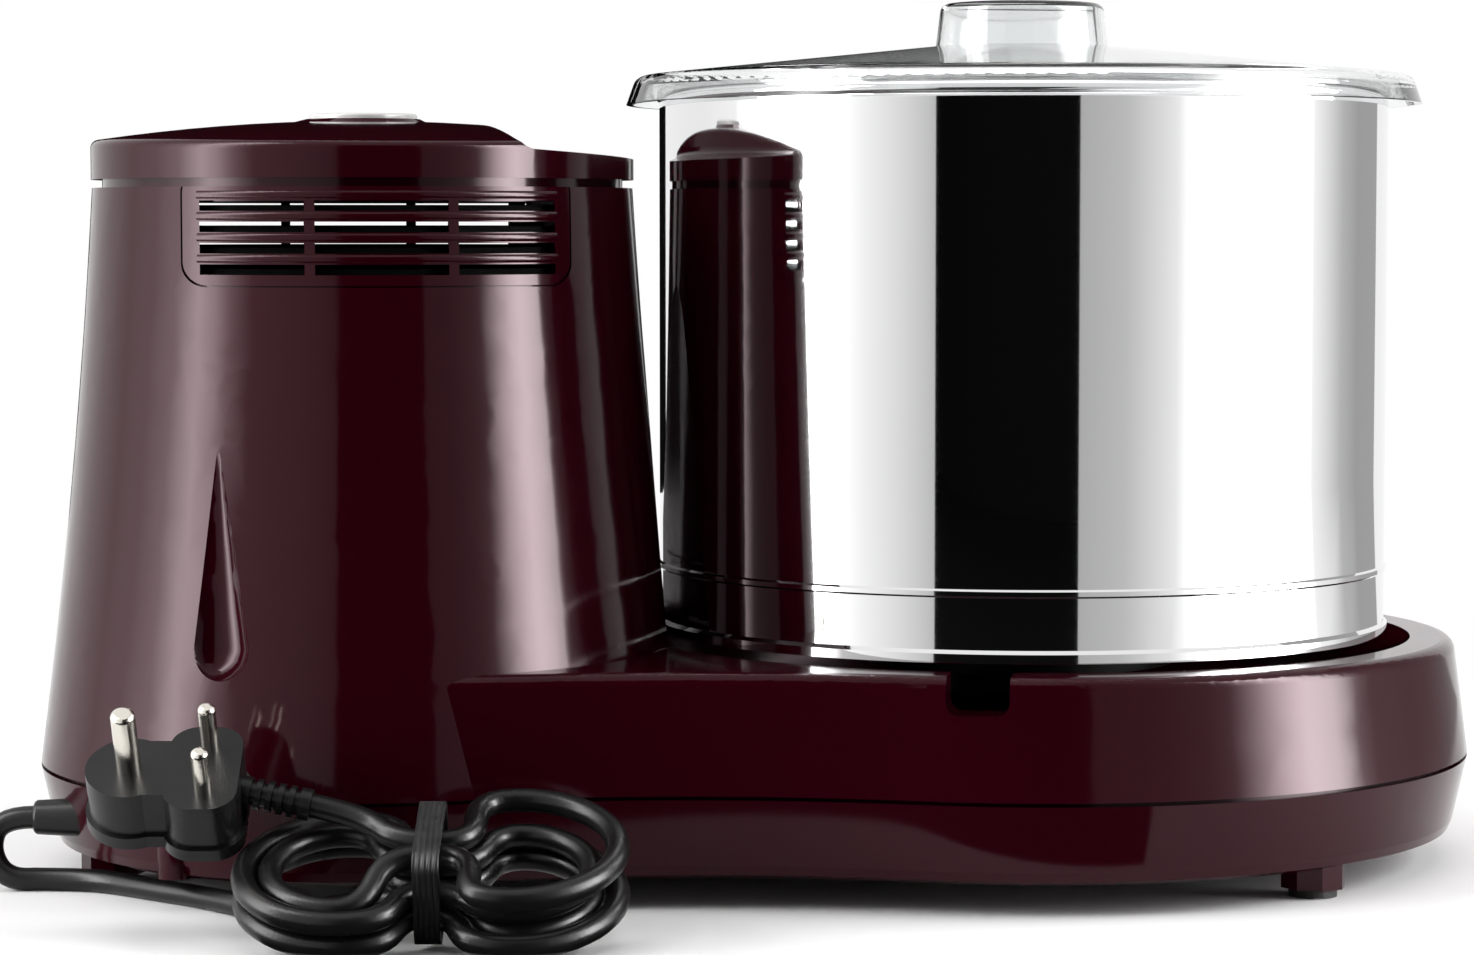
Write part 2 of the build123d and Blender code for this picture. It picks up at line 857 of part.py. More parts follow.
with BuildPart() as cap_disc:
    with BuildSketch(Plane.XY.offset(cap_top_z + island_height - disc_thickness)):
        with Locations(tower_place):
            Circle(disc_radius)
    extrude(amount=disc_thickness + disc_stand)
    fillet(cap_disc.edges().group_by(Axis.Z)[-1], disc_stand)
write(cap_disc, "cap_disc")

# Grille inserts: a curved panel with four rows of slots, a bar over each row and a flange behind the wall
panel_prism = window(panel_gap, panel_gap)
panel_skin = tower_solid(wall)
flange_skin = tower_solid(wall + panel_flange_thickness)
bar_half = slot_length / 2
with BuildPart() as grille_flange:
    add(panel_skin)
    add(flange_skin, mode=Mode.SUBTRACT)
    with BuildSketch(Plane.XY.offset(panel_foot_z - panel_flange)):
        with Locations(tower_place):
            Rectangle(panel_width + 2 * panel_flange, 2 * tower_half_width)
    extrude(amount=panel_flange_top_z - panel_foot_z + panel_flange, mode=Mode.INTERSECT)


def grille(side):
    """One grille insert, on the back of the tower for side 1 and on its front for side -1."""
    with BuildPart() as insert:
        add(tower_solid(0))
        add(panel_skin, mode=Mode.SUBTRACT)
        add(panel_prism, mode=Mode.INTERSECT)
        add(grille_flange.part)
        with BuildSketch(Plane.XY.offset(panel_foot_z - panel_flange)):
            with Locations((tower_x, side * tower_half_width / 2)):
                Rectangle(base_length, tower_half_width)
        extrude(amount=window_top_z - panel_foot_z + panel_flange, mode=Mode.INTERSECT)
        # Slots, left open between the mullions
        with BuildSketch(Plane.XZ.offset(-tower_half_width - overrun)):
            for row in range(slot_count):
                for low_x, high_x in slot_columns:
                    with Locations((tower_x + (low_x + high_x) / 2, slot_top_z - row * slot_pitch)):
                        Rectangle(high_x - low_x, slot_height)
        extrude(amount=2 * (tower_half_width + overrun), mode=Mode.SUBTRACT)
        # Half-proud round bars that follow the wall
        for row in range(slot_count):
            bar_z = slot_top_z + slot_pitch / 2 - row * slot_pitch
            half_length, half_width = tower_size(bar_z)
            half_length += bar_stand - bar_radius
            half_width += bar_stand - bar_radius
            low_angle = degrees(acos(bar_half / half_length))
            with BuildLine(Plane.XY.offset(bar_z)) as bar:
                EllipticalCenterArc(
                    tower_place,
                    half_length,
                    half_width,
                    start_angle=low_angle if side > 0 else low_angle - 180,
                    arc_size=180 - 2 * low_angle,
                )
            with BuildSketch(Plane(origin=bar.line @ 0, z_dir=bar.line % 0)):
                Circle(bar_radius)
            sweep(path=bar.line)
    return insert.part


slot_columns = [
    (-bar_half, -(mullion_spacing + mullion_width) / 2),
    (-(mullion_spacing - mullion_width) / 2, (mullion_spacing - mullion_width) / 2),
    ((mullion_spacing + mullion_width) / 2, bar_half),
]
with BuildPart() as rear_grille:
    add(grille(1))
write(rear_grille, "rear_grille")
with BuildPart() as front_grille:
    add(grille(-1))
write(front_grille, "front_grille")

drum_axis = Axis((drum_x, 0, 0), (0, 0, 1))
drum_front = Plane(origin=(drum_x, 0, 0), x_dir=(1, 0, 0), z_dir=(0, -1, 0))

# Drum: one thin shell with a rolled rim, a bead and a standing flange at its foot
drum_bore = drum_radius - drum_skin
roll_z = drum_top_z - rim_roll_radius
with BuildPart() as drum_shell:
    with BuildSketch(drum_front):
        with BuildLine():
            Polyline(
                (column_radius, drum_floor_z),
                (drum_bore, drum_floor_z),
                (drum_bore, roll_z),
                (drum_radius, roll_z),
                (drum_radius, bead_z + bead_height),
                (drum_radius + bead_stand, bead_z + bead_height - bead_stand),
                (drum_radius + bead_stand, bead_z + bead_stand),
                (drum_radius, bead_z),
                (drum_radius, drum_foot_z + flange_height),
                (drum_radius + flange_stand, drum_foot_z + flange_height - flange_stand),
                (drum_radius + flange_stand, drum_foot_z),
                (drum_bore, drum_foot_z),
                (drum_bore, drum_floor_z - drum_skin),
                (column_radius, drum_floor_z - drum_skin),
                close=True,
            )
        make_face()
        with Locations((drum_radius - drum_skin / 2, drum_top_z - rim_roll_radius)):
            Circle(rim_roll_radius)
    revolve(axis=drum_axis)
write(drum_shell, "drum_shell")

# Drive plate riveted under the drum, with a slot for each dog of the hub
plate_z = drum_floor_z - drum_skin - plate_thickness
with BuildPart() as drum_drive_plate:
    with BuildSketch(Plane.XY.offset(plate_z)):
        with Locations(drum_place):
            Circle(plate_radius)
            Circle(column_radius, mode=Mode.SUBTRACT)
    extrude(amount=plate_thickness)
    with BuildSketch(Plane.XY.offset(plate_z)):
        with Locations(drum_place):
            with PolarLocations(dog_circle, dog_count):
                Circle(dog_radius + rest_gap)
    extrude(amount=dog_height + 2 * rest_gap, mode=Mode.SUBTRACT)
    chamfer(drum_drive_plate.edges().filter_by(GeomType.CIRCLE).sort_by(SortBy.RADIUS)[-2:], plate_chamfer)
write(drum_drive_plate, "drum_drive_plate")

# Centre column: the tube that keeps batter off the post, with a bush in each end
with BuildPart() as centre_column:
    add(tube(plate_z, column_top_z, column_radius, column_radius - column_wall, drum_place))
    fillet(centre_column.edges().group_by(Axis.Z)[-1].sort_by(SortBy.RADIUS)[-1:], column_round)
write(centre_column, "centre_column")
with BuildPart() as column_bushes:
    for bush_z in (plate_z, column_top_z - bush_length - column_wall):
        bore = column_radius - column_wall
        add(tube(bush_z, bush_z + bush_length, bore, post_radius + running_gap, drum_place))
write(column_bushes, "column_bushes")

# Base stone on its bed of cement
stone_z = drum_floor_z + bedding_height
stone_top_z = stone_z + base_stone_height
with BuildPart() as stone_bed:
    add(tube(drum_floor_z, stone_z, base_stone_radius, base_stone_hole, drum_place))
write(stone_bed, "stone_bed")
with BuildPart() as base_stone:
    add(tube(stone_z, stone_top_z, base_stone_radius, base_stone_hole, drum_place))
    chamfer(base_stone.edges().group_by(Axis.Z)[-1], stone_chamfer)
write(base_stone, "base_stone")

# Centre post: keyed into the spindle, with a collar to stand on and a keyed head for the stone carrier
post_foot_z = spindle_top_z - post_key_depth
with BuildPart() as centre_post:
    with BuildSketch(Plane.XY.offset(post_foot_z + rest_gap)):
        with Locations(drum_place):
            Rectangle(post_key_width, post_key_width)
    extrude(amount=post_key_depth)
    with BuildSketch(Plane.XY.offset(spindle_top_z + rest_gap)):
        with Locations(drum_place):
            Circle(post_collar_radius)
    extrude(amount=post_collar_height)
    with BuildSketch(Plane.XY.offset(spindle_top_z + post_collar_height)):
        with Locations(drum_place):
            Circle(post_radius)
    extrude(amount=head_z - spindle_top_z - post_collar_height)
    with BuildSketch(Plane.XY.offset(head_z)):
        with Locations(drum_place):
            Rectangle(post_key_width, post_key_width)
    extrude(amount=head_key_height)
    with BuildSketch(Plane.XY.offset(head_z + head_key_height)):
        with Locations(drum_place):
            Circle(post_key_width / 2)
    extrude(amount=post_top_z - head_z - head_key_height)
    chamfer(centre_post.edges().group_by(Axis.Z)[-1], post_chamfer)
write(centre_post, "centre_post")

# Stone carrier: a sleeve over the column, closed by a keyed cap, with a sloping boss for each roller's axle
lean = radians(cone_angle)
apex_z = stone_top_z + rest_gap / cos(lean)
sleeve_bore = column_radius + carrier_gap
roller_sides = (1, -1)


def roller_plane(side):
    """The frame of a roller: its origin at the point where all slants meet, its normal out along the axle."""
    normal = (side * cos(lean), 0, sin(lean))
    return Plane(origin=(drum_x, 0, apex_z), x_dir=(0, 1, 0), z_dir=normal)


cone_face = cone_inner * cos(lean)
cone_back = cone_outer * cos(lean)
axle_start = sleeve_bore / cos(lean) + axle_radius * tan(lean) + axle_setback
with BuildPart() as stone_carrier:
    with BuildSketch(Plane.XY.offset(carrier_z)):
        with Locations(drum_place):
            Circle(carrier_radius)
    extrude(amount=head_z + carrier_cap_thickness - carrier_z)
    fillet(stone_carrier.edges().group_by(Axis.Z)[-1], carrier_round)
    for side in roller_sides:
        with BuildSketch(roller_plane(side).offset(axle_start)):
            Circle(carrier_boss_radius)
        extrude(amount=cone_face - axle_start - washer_thickness - 2 * rest_gap)
    with BuildSketch(Plane.XY.offset(stone_z)):
        with Locations(drum_place):
            Circle(carrier_radius + overrun)
    extrude(amount=carrier_z - stone_z, mode=Mode.SUBTRACT)
    with BuildSketch(Plane.XY.offset(carrier_z)):
        with Locations(drum_place):
            Circle(sleeve_bore)
    extrude(amount=head_z - carrier_z, mode=Mode.SUBTRACT)
    with BuildSketch(Plane.XY.offset(head_z)):
        with Locations(drum_place):
            Rectangle(post_key_width + 2 * rest_gap, post_key_width + 2 * rest_gap)
    extrude(amount=carrier_cap_thickness, mode=Mode.SUBTRACT)
    for side in roller_sides:
        with BuildSketch(roller_plane(side).offset(axle_start)):
            Circle(axle_radius)
        extrude(amount=cone_back, mode=Mode.SUBTRACT)
write(stone_carrier, "stone_carrier")
with BuildPart() as roller_axles:
    for side in roller_sides:
        with BuildSketch(roller_plane(side).offset(axle_start)):
            Circle(axle_radius)
        extrude(amount=cone_back + washer_thickness + axle_end - axle_start)
        with BuildSketch(roller_plane(side).offset(cone_face - washer_thickness - rest_gap)):
            Circle(washer_radius)
            Circle(axle_radius, mode=Mode.SUBTRACT)
        extrude(amount=washer_thickness)
write(roller_axles, "roller_axles")
with BuildPart() as roller_nuts:
    for side in roller_sides:
        with BuildSketch(roller_plane(side).offset(cone_back + rest_gap)):
            Circle(washer_radius)
            Circle(axle_radius, mode=Mode.SUBTRACT)
        extrude(amount=washer_thickness)
        with BuildSketch(roller_plane(side).offset(cone_back + rest_gap + washer_thickness)):
            RegularPolygon(nut_radius, hex_sides)
            Circle(axle_radius, mode=Mode.SUBTRACT)
        extrude(amount=nut_height)
write(roller_nuts, "roller_nuts")


def roller(side):
    """A conical stone whose slants all meet on the drum's axis, bored for its bush."""
    with BuildPart() as stone:
        with BuildSketch(roller_plane(side).offset(cone_face)):
            Circle(cone_inner * sin(lean))
        with BuildSketch(roller_plane(side).offset(cone_back)):
            Circle(cone_outer * sin(lean))
        loft()
        chamfer(stone.edges().filter_by(GeomType.CIRCLE).sort_by(SortBy.RADIUS)[-1:], stone_chamfer)
        with BuildSketch(roller_plane(side).offset(cone_face)):
            Circle(axle_radius + roller_bush_wall)
        extrude(amount=cone_back - cone_face, mode=Mode.SUBTRACT)
    return stone.part


def roller_bush(side):
    """The plain bush that lines a roller's bore."""
    with BuildPart() as bush:
        with BuildSketch(roller_plane(side).offset(cone_face)):
            Circle(axle_radius + roller_bush_wall)
            Circle(axle_radius + running_gap, mode=Mode.SUBTRACT)
        extrude(amount=cone_back - cone_face)
    return bush.part


with BuildPart() as roller_stone_a:
    add(roller(1))
write(roller_stone_a, "roller_stone_a")
with BuildPart() as roller_bush_a:
    add(roller_bush(1))
write(roller_bush_a, "roller_bush_a")
with BuildPart() as roller_stone_b:
    add(roller(-1))
write(roller_stone_b, "roller_stone_b")
with BuildPart() as roller_bush_b:
    add(roller_bush(-1))
write(roller_bush_b, "roller_bush_b")

# Locking knob on the post's threaded end, over the spring that presses the carrier down
with BuildPart() as carrier_spring:
    with BuildLine() as coil:
        Helix(pitch=spring_pitch, height=spring_height, radius=spring_radius, center=(drum_x, 0, spring_z))
    with BuildSketch(Plane(origin=coil.line @ 0, z_dir=coil.line % 0)):
        Circle(spring_wire)
    sweep(path=coil.line, is_frenet=True)
write(carrier_spring, "carrier_spring")
with BuildPart() as locking_knob:
    with BuildSketch(Plane.XY.offset(knob_foot_z)):
        with Locations(drum_place):
            Circle(lock_radius)
    extrude(amount=lock_height)
    with BuildSketch(Plane.XY.offset(knob_foot_z)):
        with Locations(drum_place):
            with PolarLocations(lock_radius + lock_groove / 2, lock_grooves):
                Circle(lock_groove)
    extrude(amount=lock_height, mode=Mode.SUBTRACT)
    with BuildSketch(Plane.XY.offset(knob_foot_z)):
        with Locations(drum_place):
            Circle(post_key_width / 2 + running_gap)
    extrude(amount=post_top_z - knob_foot_z, mode=Mode.SUBTRACT)
write(locking_knob, "locking_knob")

# Lid: a clear coned cover over the rim, with a ring inside the drum and a band that sits on the rim
def lid_form(inset):
    """The lid's outside, or with an inset the hollow under it."""
    with BuildPart() as form:
        with BuildSketch(drum_front):
            with BuildLine():
                skirt = FilletPolyline(
                    (lid_radius - inset, lid_rim_z),
                    (lid_shoulder_radius - inset, lid_shoulder_z - inset),
                    (lid_flat_radius, lid_crown_z - inset),
                    (0, lid_crown_z - inset),
                    radius=(lid_round, lid_round),
                )
                Polyline(skirt @ 1, (0, lid_rim_z), skirt @ 0)
            make_face()
        revolve(axis=drum_axis)
    return form.part


lid_hollow = lid_form(lid_thickness)
with BuildPart() as lid_reach:
    add(lid_form(lid_thickness / 2))
    add(post_solid(lid_ring_z, lid_rim_z, lid_radius, drum_place))
lid_seat_z = drum_top_z + rest_gap
with BuildPart() as lid_rings:
    rim_reach = (drum_radius + rim_roll_radius, drum_radius - rim_roll_radius)
    add(tube(lid_seat_z, lid_crown_z, *rim_reach, drum_place))
    add(tube(lid_ring_z, lid_crown_z, lid_ring_radius, lid_ring_radius - lid_thickness, drum_place))
    add(lid_reach.part, mode=Mode.INTERSECT)
with BuildPart() as lid:
    add(lid_form(0))
    add(lid_hollow, mode=Mode.SUBTRACT)
    add(lid_rings.part)
write(lid, "lid")
with BuildPart() as lid_knob:
    with BuildSketch(Plane.XY.offset(lid_crown_z)):
        with Locations(drum_place):
            Circle(knob_base_radius)
    extrude(amount=knob_height, taper=knob_taper)
    fillet(lid_knob.edges().group_by(Axis.Z)[-1], knob_round)
    with BuildSketch(Plane.XY.offset(lid_crown_z)):
        with Locations(drum_place):
            Circle(knob_base_radius - knob_wall)
            with PolarLocations(0, knob_ribs):
                Rectangle(2 * knob_base_radius, knob_wall, mode=Mode.SUBTRACT)
    extrude(amount=knob_height - knob_wall, taper=knob_taper, mode=Mode.SUBTRACT)
write(lid_knob, "lid_knob")

# Chassis plate: one sheet that holds the spindle and the motor at the belt's spacing
with BuildPart() as chassis_plate:
    with BuildSketch(Plane.XY.offset(chassis_z)):
        with Locations(drum_place):
            Circle(chassis_drum_radius)
        with Locations(tower_place):
            Ellipse(chassis_tower_length, chassis_tower_width)
        with Locations((drum_x + axis_spacing / 2, 0)):
            Rectangle(axis_spacing, chassis_waist)
        with Locations(chassis_posts):
            Circle(screw_radius, mode=Mode.SUBTRACT)
        with Locations(leg_places):
            Circle(screw_radius, mode=Mode.SUBTRACT)
        with Locations(tower_place):
            Circle(chassis_vent_radius, mode=Mode.SUBTRACT)
        with Locations((reset_x + tower_x, reset_y)):
            Circle(reset_clear_radius, mode=Mode.SUBTRACT)
        with Locations((capacitor_x + tower_x, 0)):
            Circle(capacitor_radius + wall, mode=Mode.SUBTRACT)
    extrude(amount=chassis_sheet)
write(chassis_plate, "chassis_plate")
sheet_top_z = chassis_z + chassis_sheet

# Spindle housing: a cast flange with the fixed spindle pressed into its boss
with BuildPart() as spindle_housing:
    with BuildSketch(Plane.XY.offset(sheet_top_z)):
        with Locations(drum_place):
            Circle(spindle_flange_radius)
    extrude(amount=spindle_flange_height)
    with BuildSketch(Plane.XY.offset(sheet_top_z)):
        with Locations(drum_place):
            Circle(spindle_boss_radius)
    extrude(amount=spindle_boss_z - sheet_top_z)
    with BuildSketch(Plane.XY.offset(sheet_top_z)):
        with Locations(drum_place):
            with PolarLocations((spindle_flange_radius + spindle_boss_radius) / 2 - web_shift, spindle_webs):
                Rectangle(spindle_flange_radius - spindle_boss_radius, wall)
    extrude(amount=spindle_boss_z - sheet_top_z - web_drop)
    with BuildSketch(Plane.XY.offset(sheet_top_z)):
        with Locations(drum_place):
            Circle(spindle_radius)
    extrude(amount=spindle_boss_z - sheet_top_z, mode=Mode.SUBTRACT)
write(spindle_housing, "spindle_housing")
with BuildPart() as spindle:
    with BuildSketch(Plane.XY.offset(sheet_top_z)):
        with Locations(drum_place):
            Circle(spindle_radius)
    extrude(amount=spindle_top_z - sheet_top_z)
    chamfer(spindle.edges().group_by(Axis.Z)[-1], post_chamfer)
    with BuildSketch(Plane.XY.offset(post_foot_z)):
        with Locations(drum_place):
            Rectangle(post_key_width + 2 * running_gap, post_key_width + 2 * running_gap)
    extrude(amount=post_key_depth, mode=Mode.SUBTRACT)
write(spindle, "spindle")
with BuildPart() as spindle_bearings:
    for low_z in (lower_bearing_z, upper_bearing_z):
        add(tube(low_z, low_z + bearing_width, bearing_radius, spindle_radius, drum_place))
        with BuildSketch(Plane.XY.offset(low_z + bearing_width - bearing_groove)):
            with Locations(drum_place):
                Circle(bearing_radius - bearing_ring)
                Circle(spindle_radius + bearing_ring, mode=Mode.SUBTRACT)
        extrude(amount=bearing_groove, mode=Mode.SUBTRACT)
write(spindle_bearings, "spindle_bearings")

# Turntable: the driven pulley, and on it the hub that comes up through the well with its driving dogs
hub_radius = bearing_radius + hub_wall
with BuildPart() as driven_pulley:
    with BuildSketch(Plane.XY.offset(belt_z)):
        with Locations(drum_place):
            Circle(driven_pulley_radius)
            Circle(driven_pulley_radius - pulley_rim, mode=Mode.SUBTRACT)
            Circle(hub_radius)
    extrude(amount=belt_height)
    lip_radius = driven_pulley_radius + belt_thickness
    for lip_z in (belt_z, belt_z + belt_height - pulley_lip):
        add(tube(lip_z, lip_z + pulley_lip, lip_radius, driven_pulley_radius, drum_place))
    with BuildSketch(Plane.XY.offset(belt_z + belt_height / 2 - wall / 2)):
        with Locations(drum_place):
            Circle(driven_pulley_radius - pulley_rim / 2)
            with PolarLocations((driven_pulley_radius + hub_radius) / 2 - pulley_rim / 2, pulley_windows):
                Circle(pulley_window_radius, mode=Mode.SUBTRACT)
    extrude(amount=wall)
    with BuildSketch(Plane.XY.offset(belt_z)):
        with Locations(drum_place):
            Circle(bearing_radius + running_gap)
    extrude(amount=belt_height, mode=Mode.SUBTRACT)
write(driven_pulley, "driven_pulley")
hub_foot_z = belt_z + belt_height
turntable_top_z = turntable_z + turntable_thickness
with BuildPart() as drive_hub:
    with BuildSketch(Plane.XY.offset(hub_foot_z)):
        with Locations(drum_place):
            Circle(hub_radius)
    extrude(amount=turntable_z - hub_foot_z)
    with BuildSketch(Plane.XY.offset(turntable_z)):
        with Locations(drum_place):
            Circle(turntable_radius)
    extrude(amount=turntable_thickness)
    fillet(drive_hub.edges().group_by(Axis.Z)[-1], wall / 2)
    with BuildSketch(Plane.XY.offset(turntable_top_z)):
        with Locations(drum_place):
            with PolarLocations(dog_circle, dog_count):
                Circle(dog_radius)
    extrude(amount=dog_height)
    with BuildSketch(Plane.XY.offset(hub_foot_z)):
        with Locations(drum_place):
            Circle(bearing_radius + running_gap)
    extrude(amount=turntable_z - hub_foot_z, mode=Mode.SUBTRACT)
    with BuildSketch(Plane.XY.offset(turntable_z)):
        with Locations(drum_place):
            Circle(hub_mouth_radius)
    extrude(amount=turntable_thickness, mode=Mode.SUBTRACT)
write(drive_hub, "drive_hub")

# Belt round both pulleys: two arcs and the straight runs that touch them
belt_lean = acos((driven_pulley_radius - motor_pulley_radius) / axis_spacing)


def belt_outline(stand):
    """The belt's outline at a stand-off from the pulleys."""
    big = driven_pulley_radius + stand
    small = motor_pulley_radius + stand
    upper_big = (drum_x + big * cos(belt_lean), big * sin(belt_lean))
    upper_small = (tower_x + small * cos(belt_lean), small * sin(belt_lean))
    with BuildSketch(Plane.XY.offset(belt_z + pulley_lip + rest_gap)) as outline:
        with BuildLine():
            Line(upper_big, upper_small)
            ThreePointArc(upper_small, (tower_x + small, 0), (upper_small[0], -upper_small[1]))
            Line((upper_small[0], -upper_small[1]), (upper_big[0], -upper_big[1]))
            ThreePointArc((upper_big[0], -upper_big[1]), (drum_x - big, 0), upper_big)
        make_face()
    return outline.sketch


with BuildPart() as drive_belt:
    add(belt_outline(belt_thickness + belt_clear))
    extrude(amount=belt_height - 2 * (pulley_lip + rest_gap))
    add(belt_outline(belt_clear))
    extrude(amount=belt_height - 2 * (pulley_lip + rest_gap), mode=Mode.SUBTRACT)
write(drive_belt, "drive_belt")

# Motor: brackets, stator and windings are fixed; the shaft carries the rotor, the fan and the pulley
stator_top_z = stator_z + stator_height
leg_foot_z = sheet_top_z + mount_height
upper_bracket_z = stator_top_z + end_turn_height + 2 * rest_gap
lower_bracket_z = stator_z - end_turn_height - 2 * rest_gap - bracket_thickness
window_circle = (bracket_radius + motor_bearing_radius) / 2 - bracket_rim


def bracket(low_z, seat_z):
    """A motor bracket: a disc with a raised seat for its bearing and a hollow for the end turns."""
    with BuildPart() as plate:
        with BuildSketch(Plane.XY.offset(low_z)):
            with Locations(tower_place):
                Circle(bracket_radius)
                with PolarLocations(window_circle, bracket_windows):
                    Circle(bracket_window_radius, mode=Mode.SUBTRACT)
        extrude(amount=bracket_thickness)
        with BuildSketch(Plane.XY.offset(seat_z)):
            with Locations(tower_place):
                Circle(motor_bearing_radius + wall)
        extrude(amount=motor_bearing_width)
        with BuildSketch(Plane.XY.offset(seat_z)):
            with Locations(tower_place):
                Circle(motor_bearing_radius)
        extrude(amount=motor_bearing_width, mode=Mode.SUBTRACT)
    return plate.part


with BuildPart() as motor_lower_bracket:
    add(bracket(lower_bracket_z, lower_bracket_z))
    with BuildSketch(Plane.XY.offset(leg_foot_z)):
        with Locations(leg_places):
            Circle(bracket_leg_radius)
    extrude(amount=lower_bracket_z - leg_foot_z)
    with BuildSketch(Plane.XY.offset(lower_bracket_z)):
        with Locations(tie_places):
            Circle(tie_bolt_radius + bracket_rim)
    extrude(amount=stator_z - lower_bracket_z)
    with BuildSketch(Plane.XY.offset(lower_bracket_z)):
        with Locations(tie_places):
            Circle(tie_bolt_radius)
    extrude(amount=stator_z - lower_bracket_z, mode=Mode.SUBTRACT)
write(motor_lower_bracket, "motor_lower_bracket")
with BuildPart() as motor_upper_bracket:
    add(bracket(upper_bracket_z, upper_bracket_z + bracket_thickness - motor_bearing_width))
    with BuildSketch(Plane.XY.offset(stator_top_z)):
        with Locations(tie_places):
            Circle(tie_bolt_radius + bracket_rim)
    extrude(amount=upper_bracket_z + bracket_thickness - stator_top_z)
    with BuildSketch(Plane.XY.offset(stator_top_z)):
        with Locations(tie_places):
            Circle(tie_bolt_radius)
    extrude(amount=upper_bracket_z + bracket_thickness - stator_top_z, mode=Mode.SUBTRACT)
write(motor_upper_bracket, "motor_upper_bracket")
with BuildPart() as motor_stator:
    with BuildSketch(Plane.XY.offset(stator_z)):
        with Locations(tower_place):
            Circle(stator_radius)
            Circle(stator_bore, mode=Mode.SUBTRACT)
            with PolarLocations(slot_circle, stator_slots):
                Circle(slot_radius, mode=Mode.SUBTRACT)
        with Locations(tie_places):
            Circle(tie_bolt_radius, mode=Mode.SUBTRACT)
    extrude(amount=stator_height)
write(motor_stator, "motor_stator")
with BuildPart() as motor_windings:
    for low_z in (stator_z - end_turn_height, stator_top_z):
        with BuildSketch(Plane.XY.offset(low_z)):
            with Locations(tower_place):
                Circle(slot_circle + slot_radius)
                Circle(slot_circle - slot_radius, mode=Mode.SUBTRACT)
        extrude(amount=end_turn_height)
    fillet(motor_windings.edges().group_by(Axis.Z)[0], end_turn_round)
    fillet(motor_windings.edges().group_by(Axis.Z)[-1], end_turn_round)
    with BuildSketch(Plane.XY.offset(stator_z)):
        with Locations(tower_place):
            with PolarLocations(slot_circle, stator_slots):
                Circle(slot_radius - rest_gap)
    extrude(amount=stator_height)
write(motor_windings, "motor_windings")
with BuildPart() as motor_bearings:
    for low_z in (lower_bracket_z, upper_bracket_z + bracket_thickness - motor_bearing_width):
        bore = motor_shaft_radius + running_gap
        add(tube(low_z, low_z + motor_bearing_width, motor_bearing_radius, bore, tower_place))
write(motor_bearings, "motor_bearings")
with BuildPart() as motor_tie_bolts:
    with BuildSketch(Plane.XY.offset(lower_bracket_z - tie_head)):
        with Locations(tie_places):
            RegularPolygon(tie_bolt_radius + bracket_rim / 2, hex_sides)
    extrude(amount=tie_head)
    with BuildSketch(Plane.XY.offset(lower_bracket_z)):
        with Locations(tie_places):
            Circle(tie_bolt_radius)
    extrude(amount=upper_bracket_z + bracket_thickness + tie_head - lower_bracket_z)
write(motor_tie_bolts, "motor_tie_bolts")
with BuildPart() as motor_mounts:
    with BuildSketch(Plane.XY.offset(sheet_top_z)):
        with Locations(leg_places):
            Circle(bracket_leg_radius + wall)
    extrude(amount=mount_height)
write(motor_mounts, "motor_mounts")
shaft_foot_z = belt_z - motor_shaft_radius
with BuildPart() as motor_shaft:
    with BuildSketch(Plane.XY.offset(shaft_foot_z)):
        with Locations(tower_place):
            Circle(motor_shaft_radius)
    extrude(amount=motor_shaft_top_z - shaft_foot_z)
    chamfer(motor_shaft.edges().filter_by(GeomType.CIRCLE), post_chamfer)
write(motor_shaft, "motor_shaft")
with BuildPart() as rotor_core:
    rotor_radius = stator_bore - air_gap
    add(tube(stator_z, stator_top_z, rotor_radius, motor_shaft_radius, tower_place))
    for ring_z in (stator_z - rotor_ring_height, stator_top_z):
        ring_bore = rotor_radius - rotor_ring_width
        add(tube(ring_z, ring_z + rotor_ring_height, rotor_radius, ring_bore, tower_place))
write(rotor_core, "rotor_core")
with BuildPart() as cooling_fan:
    add(tube(fan_z, fan_z + fan_height, motor_shaft_radius + wall, motor_shaft_radius, tower_place))
    add(tube(fan_z, fan_z + fan_sheet, fan_radius, motor_shaft_radius, tower_place))
    with BuildSketch(Plane.XY.offset(fan_z)):
        with Locations(tower_place):
            with PolarLocations(fan_radius * fan_blade_place_share, fan_blades):
                Rectangle(fan_radius * fan_blade_length_share, fan_sheet)
    extrude(amount=fan_height)
write(cooling_fan, "cooling_fan")
with BuildPart() as motor_pulley:
    add(tube(belt_z, belt_z + belt_height, motor_pulley_radius, motor_shaft_radius, tower_place))
    small_lip_radius = motor_pulley_radius + belt_thickness
    for lip_z in (belt_z, belt_z + belt_height - pulley_lip):
        add(tube(lip_z, lip_z + pulley_lip, small_lip_radius, motor_shaft_radius, tower_place))
write(motor_pulley, "motor_pulley")

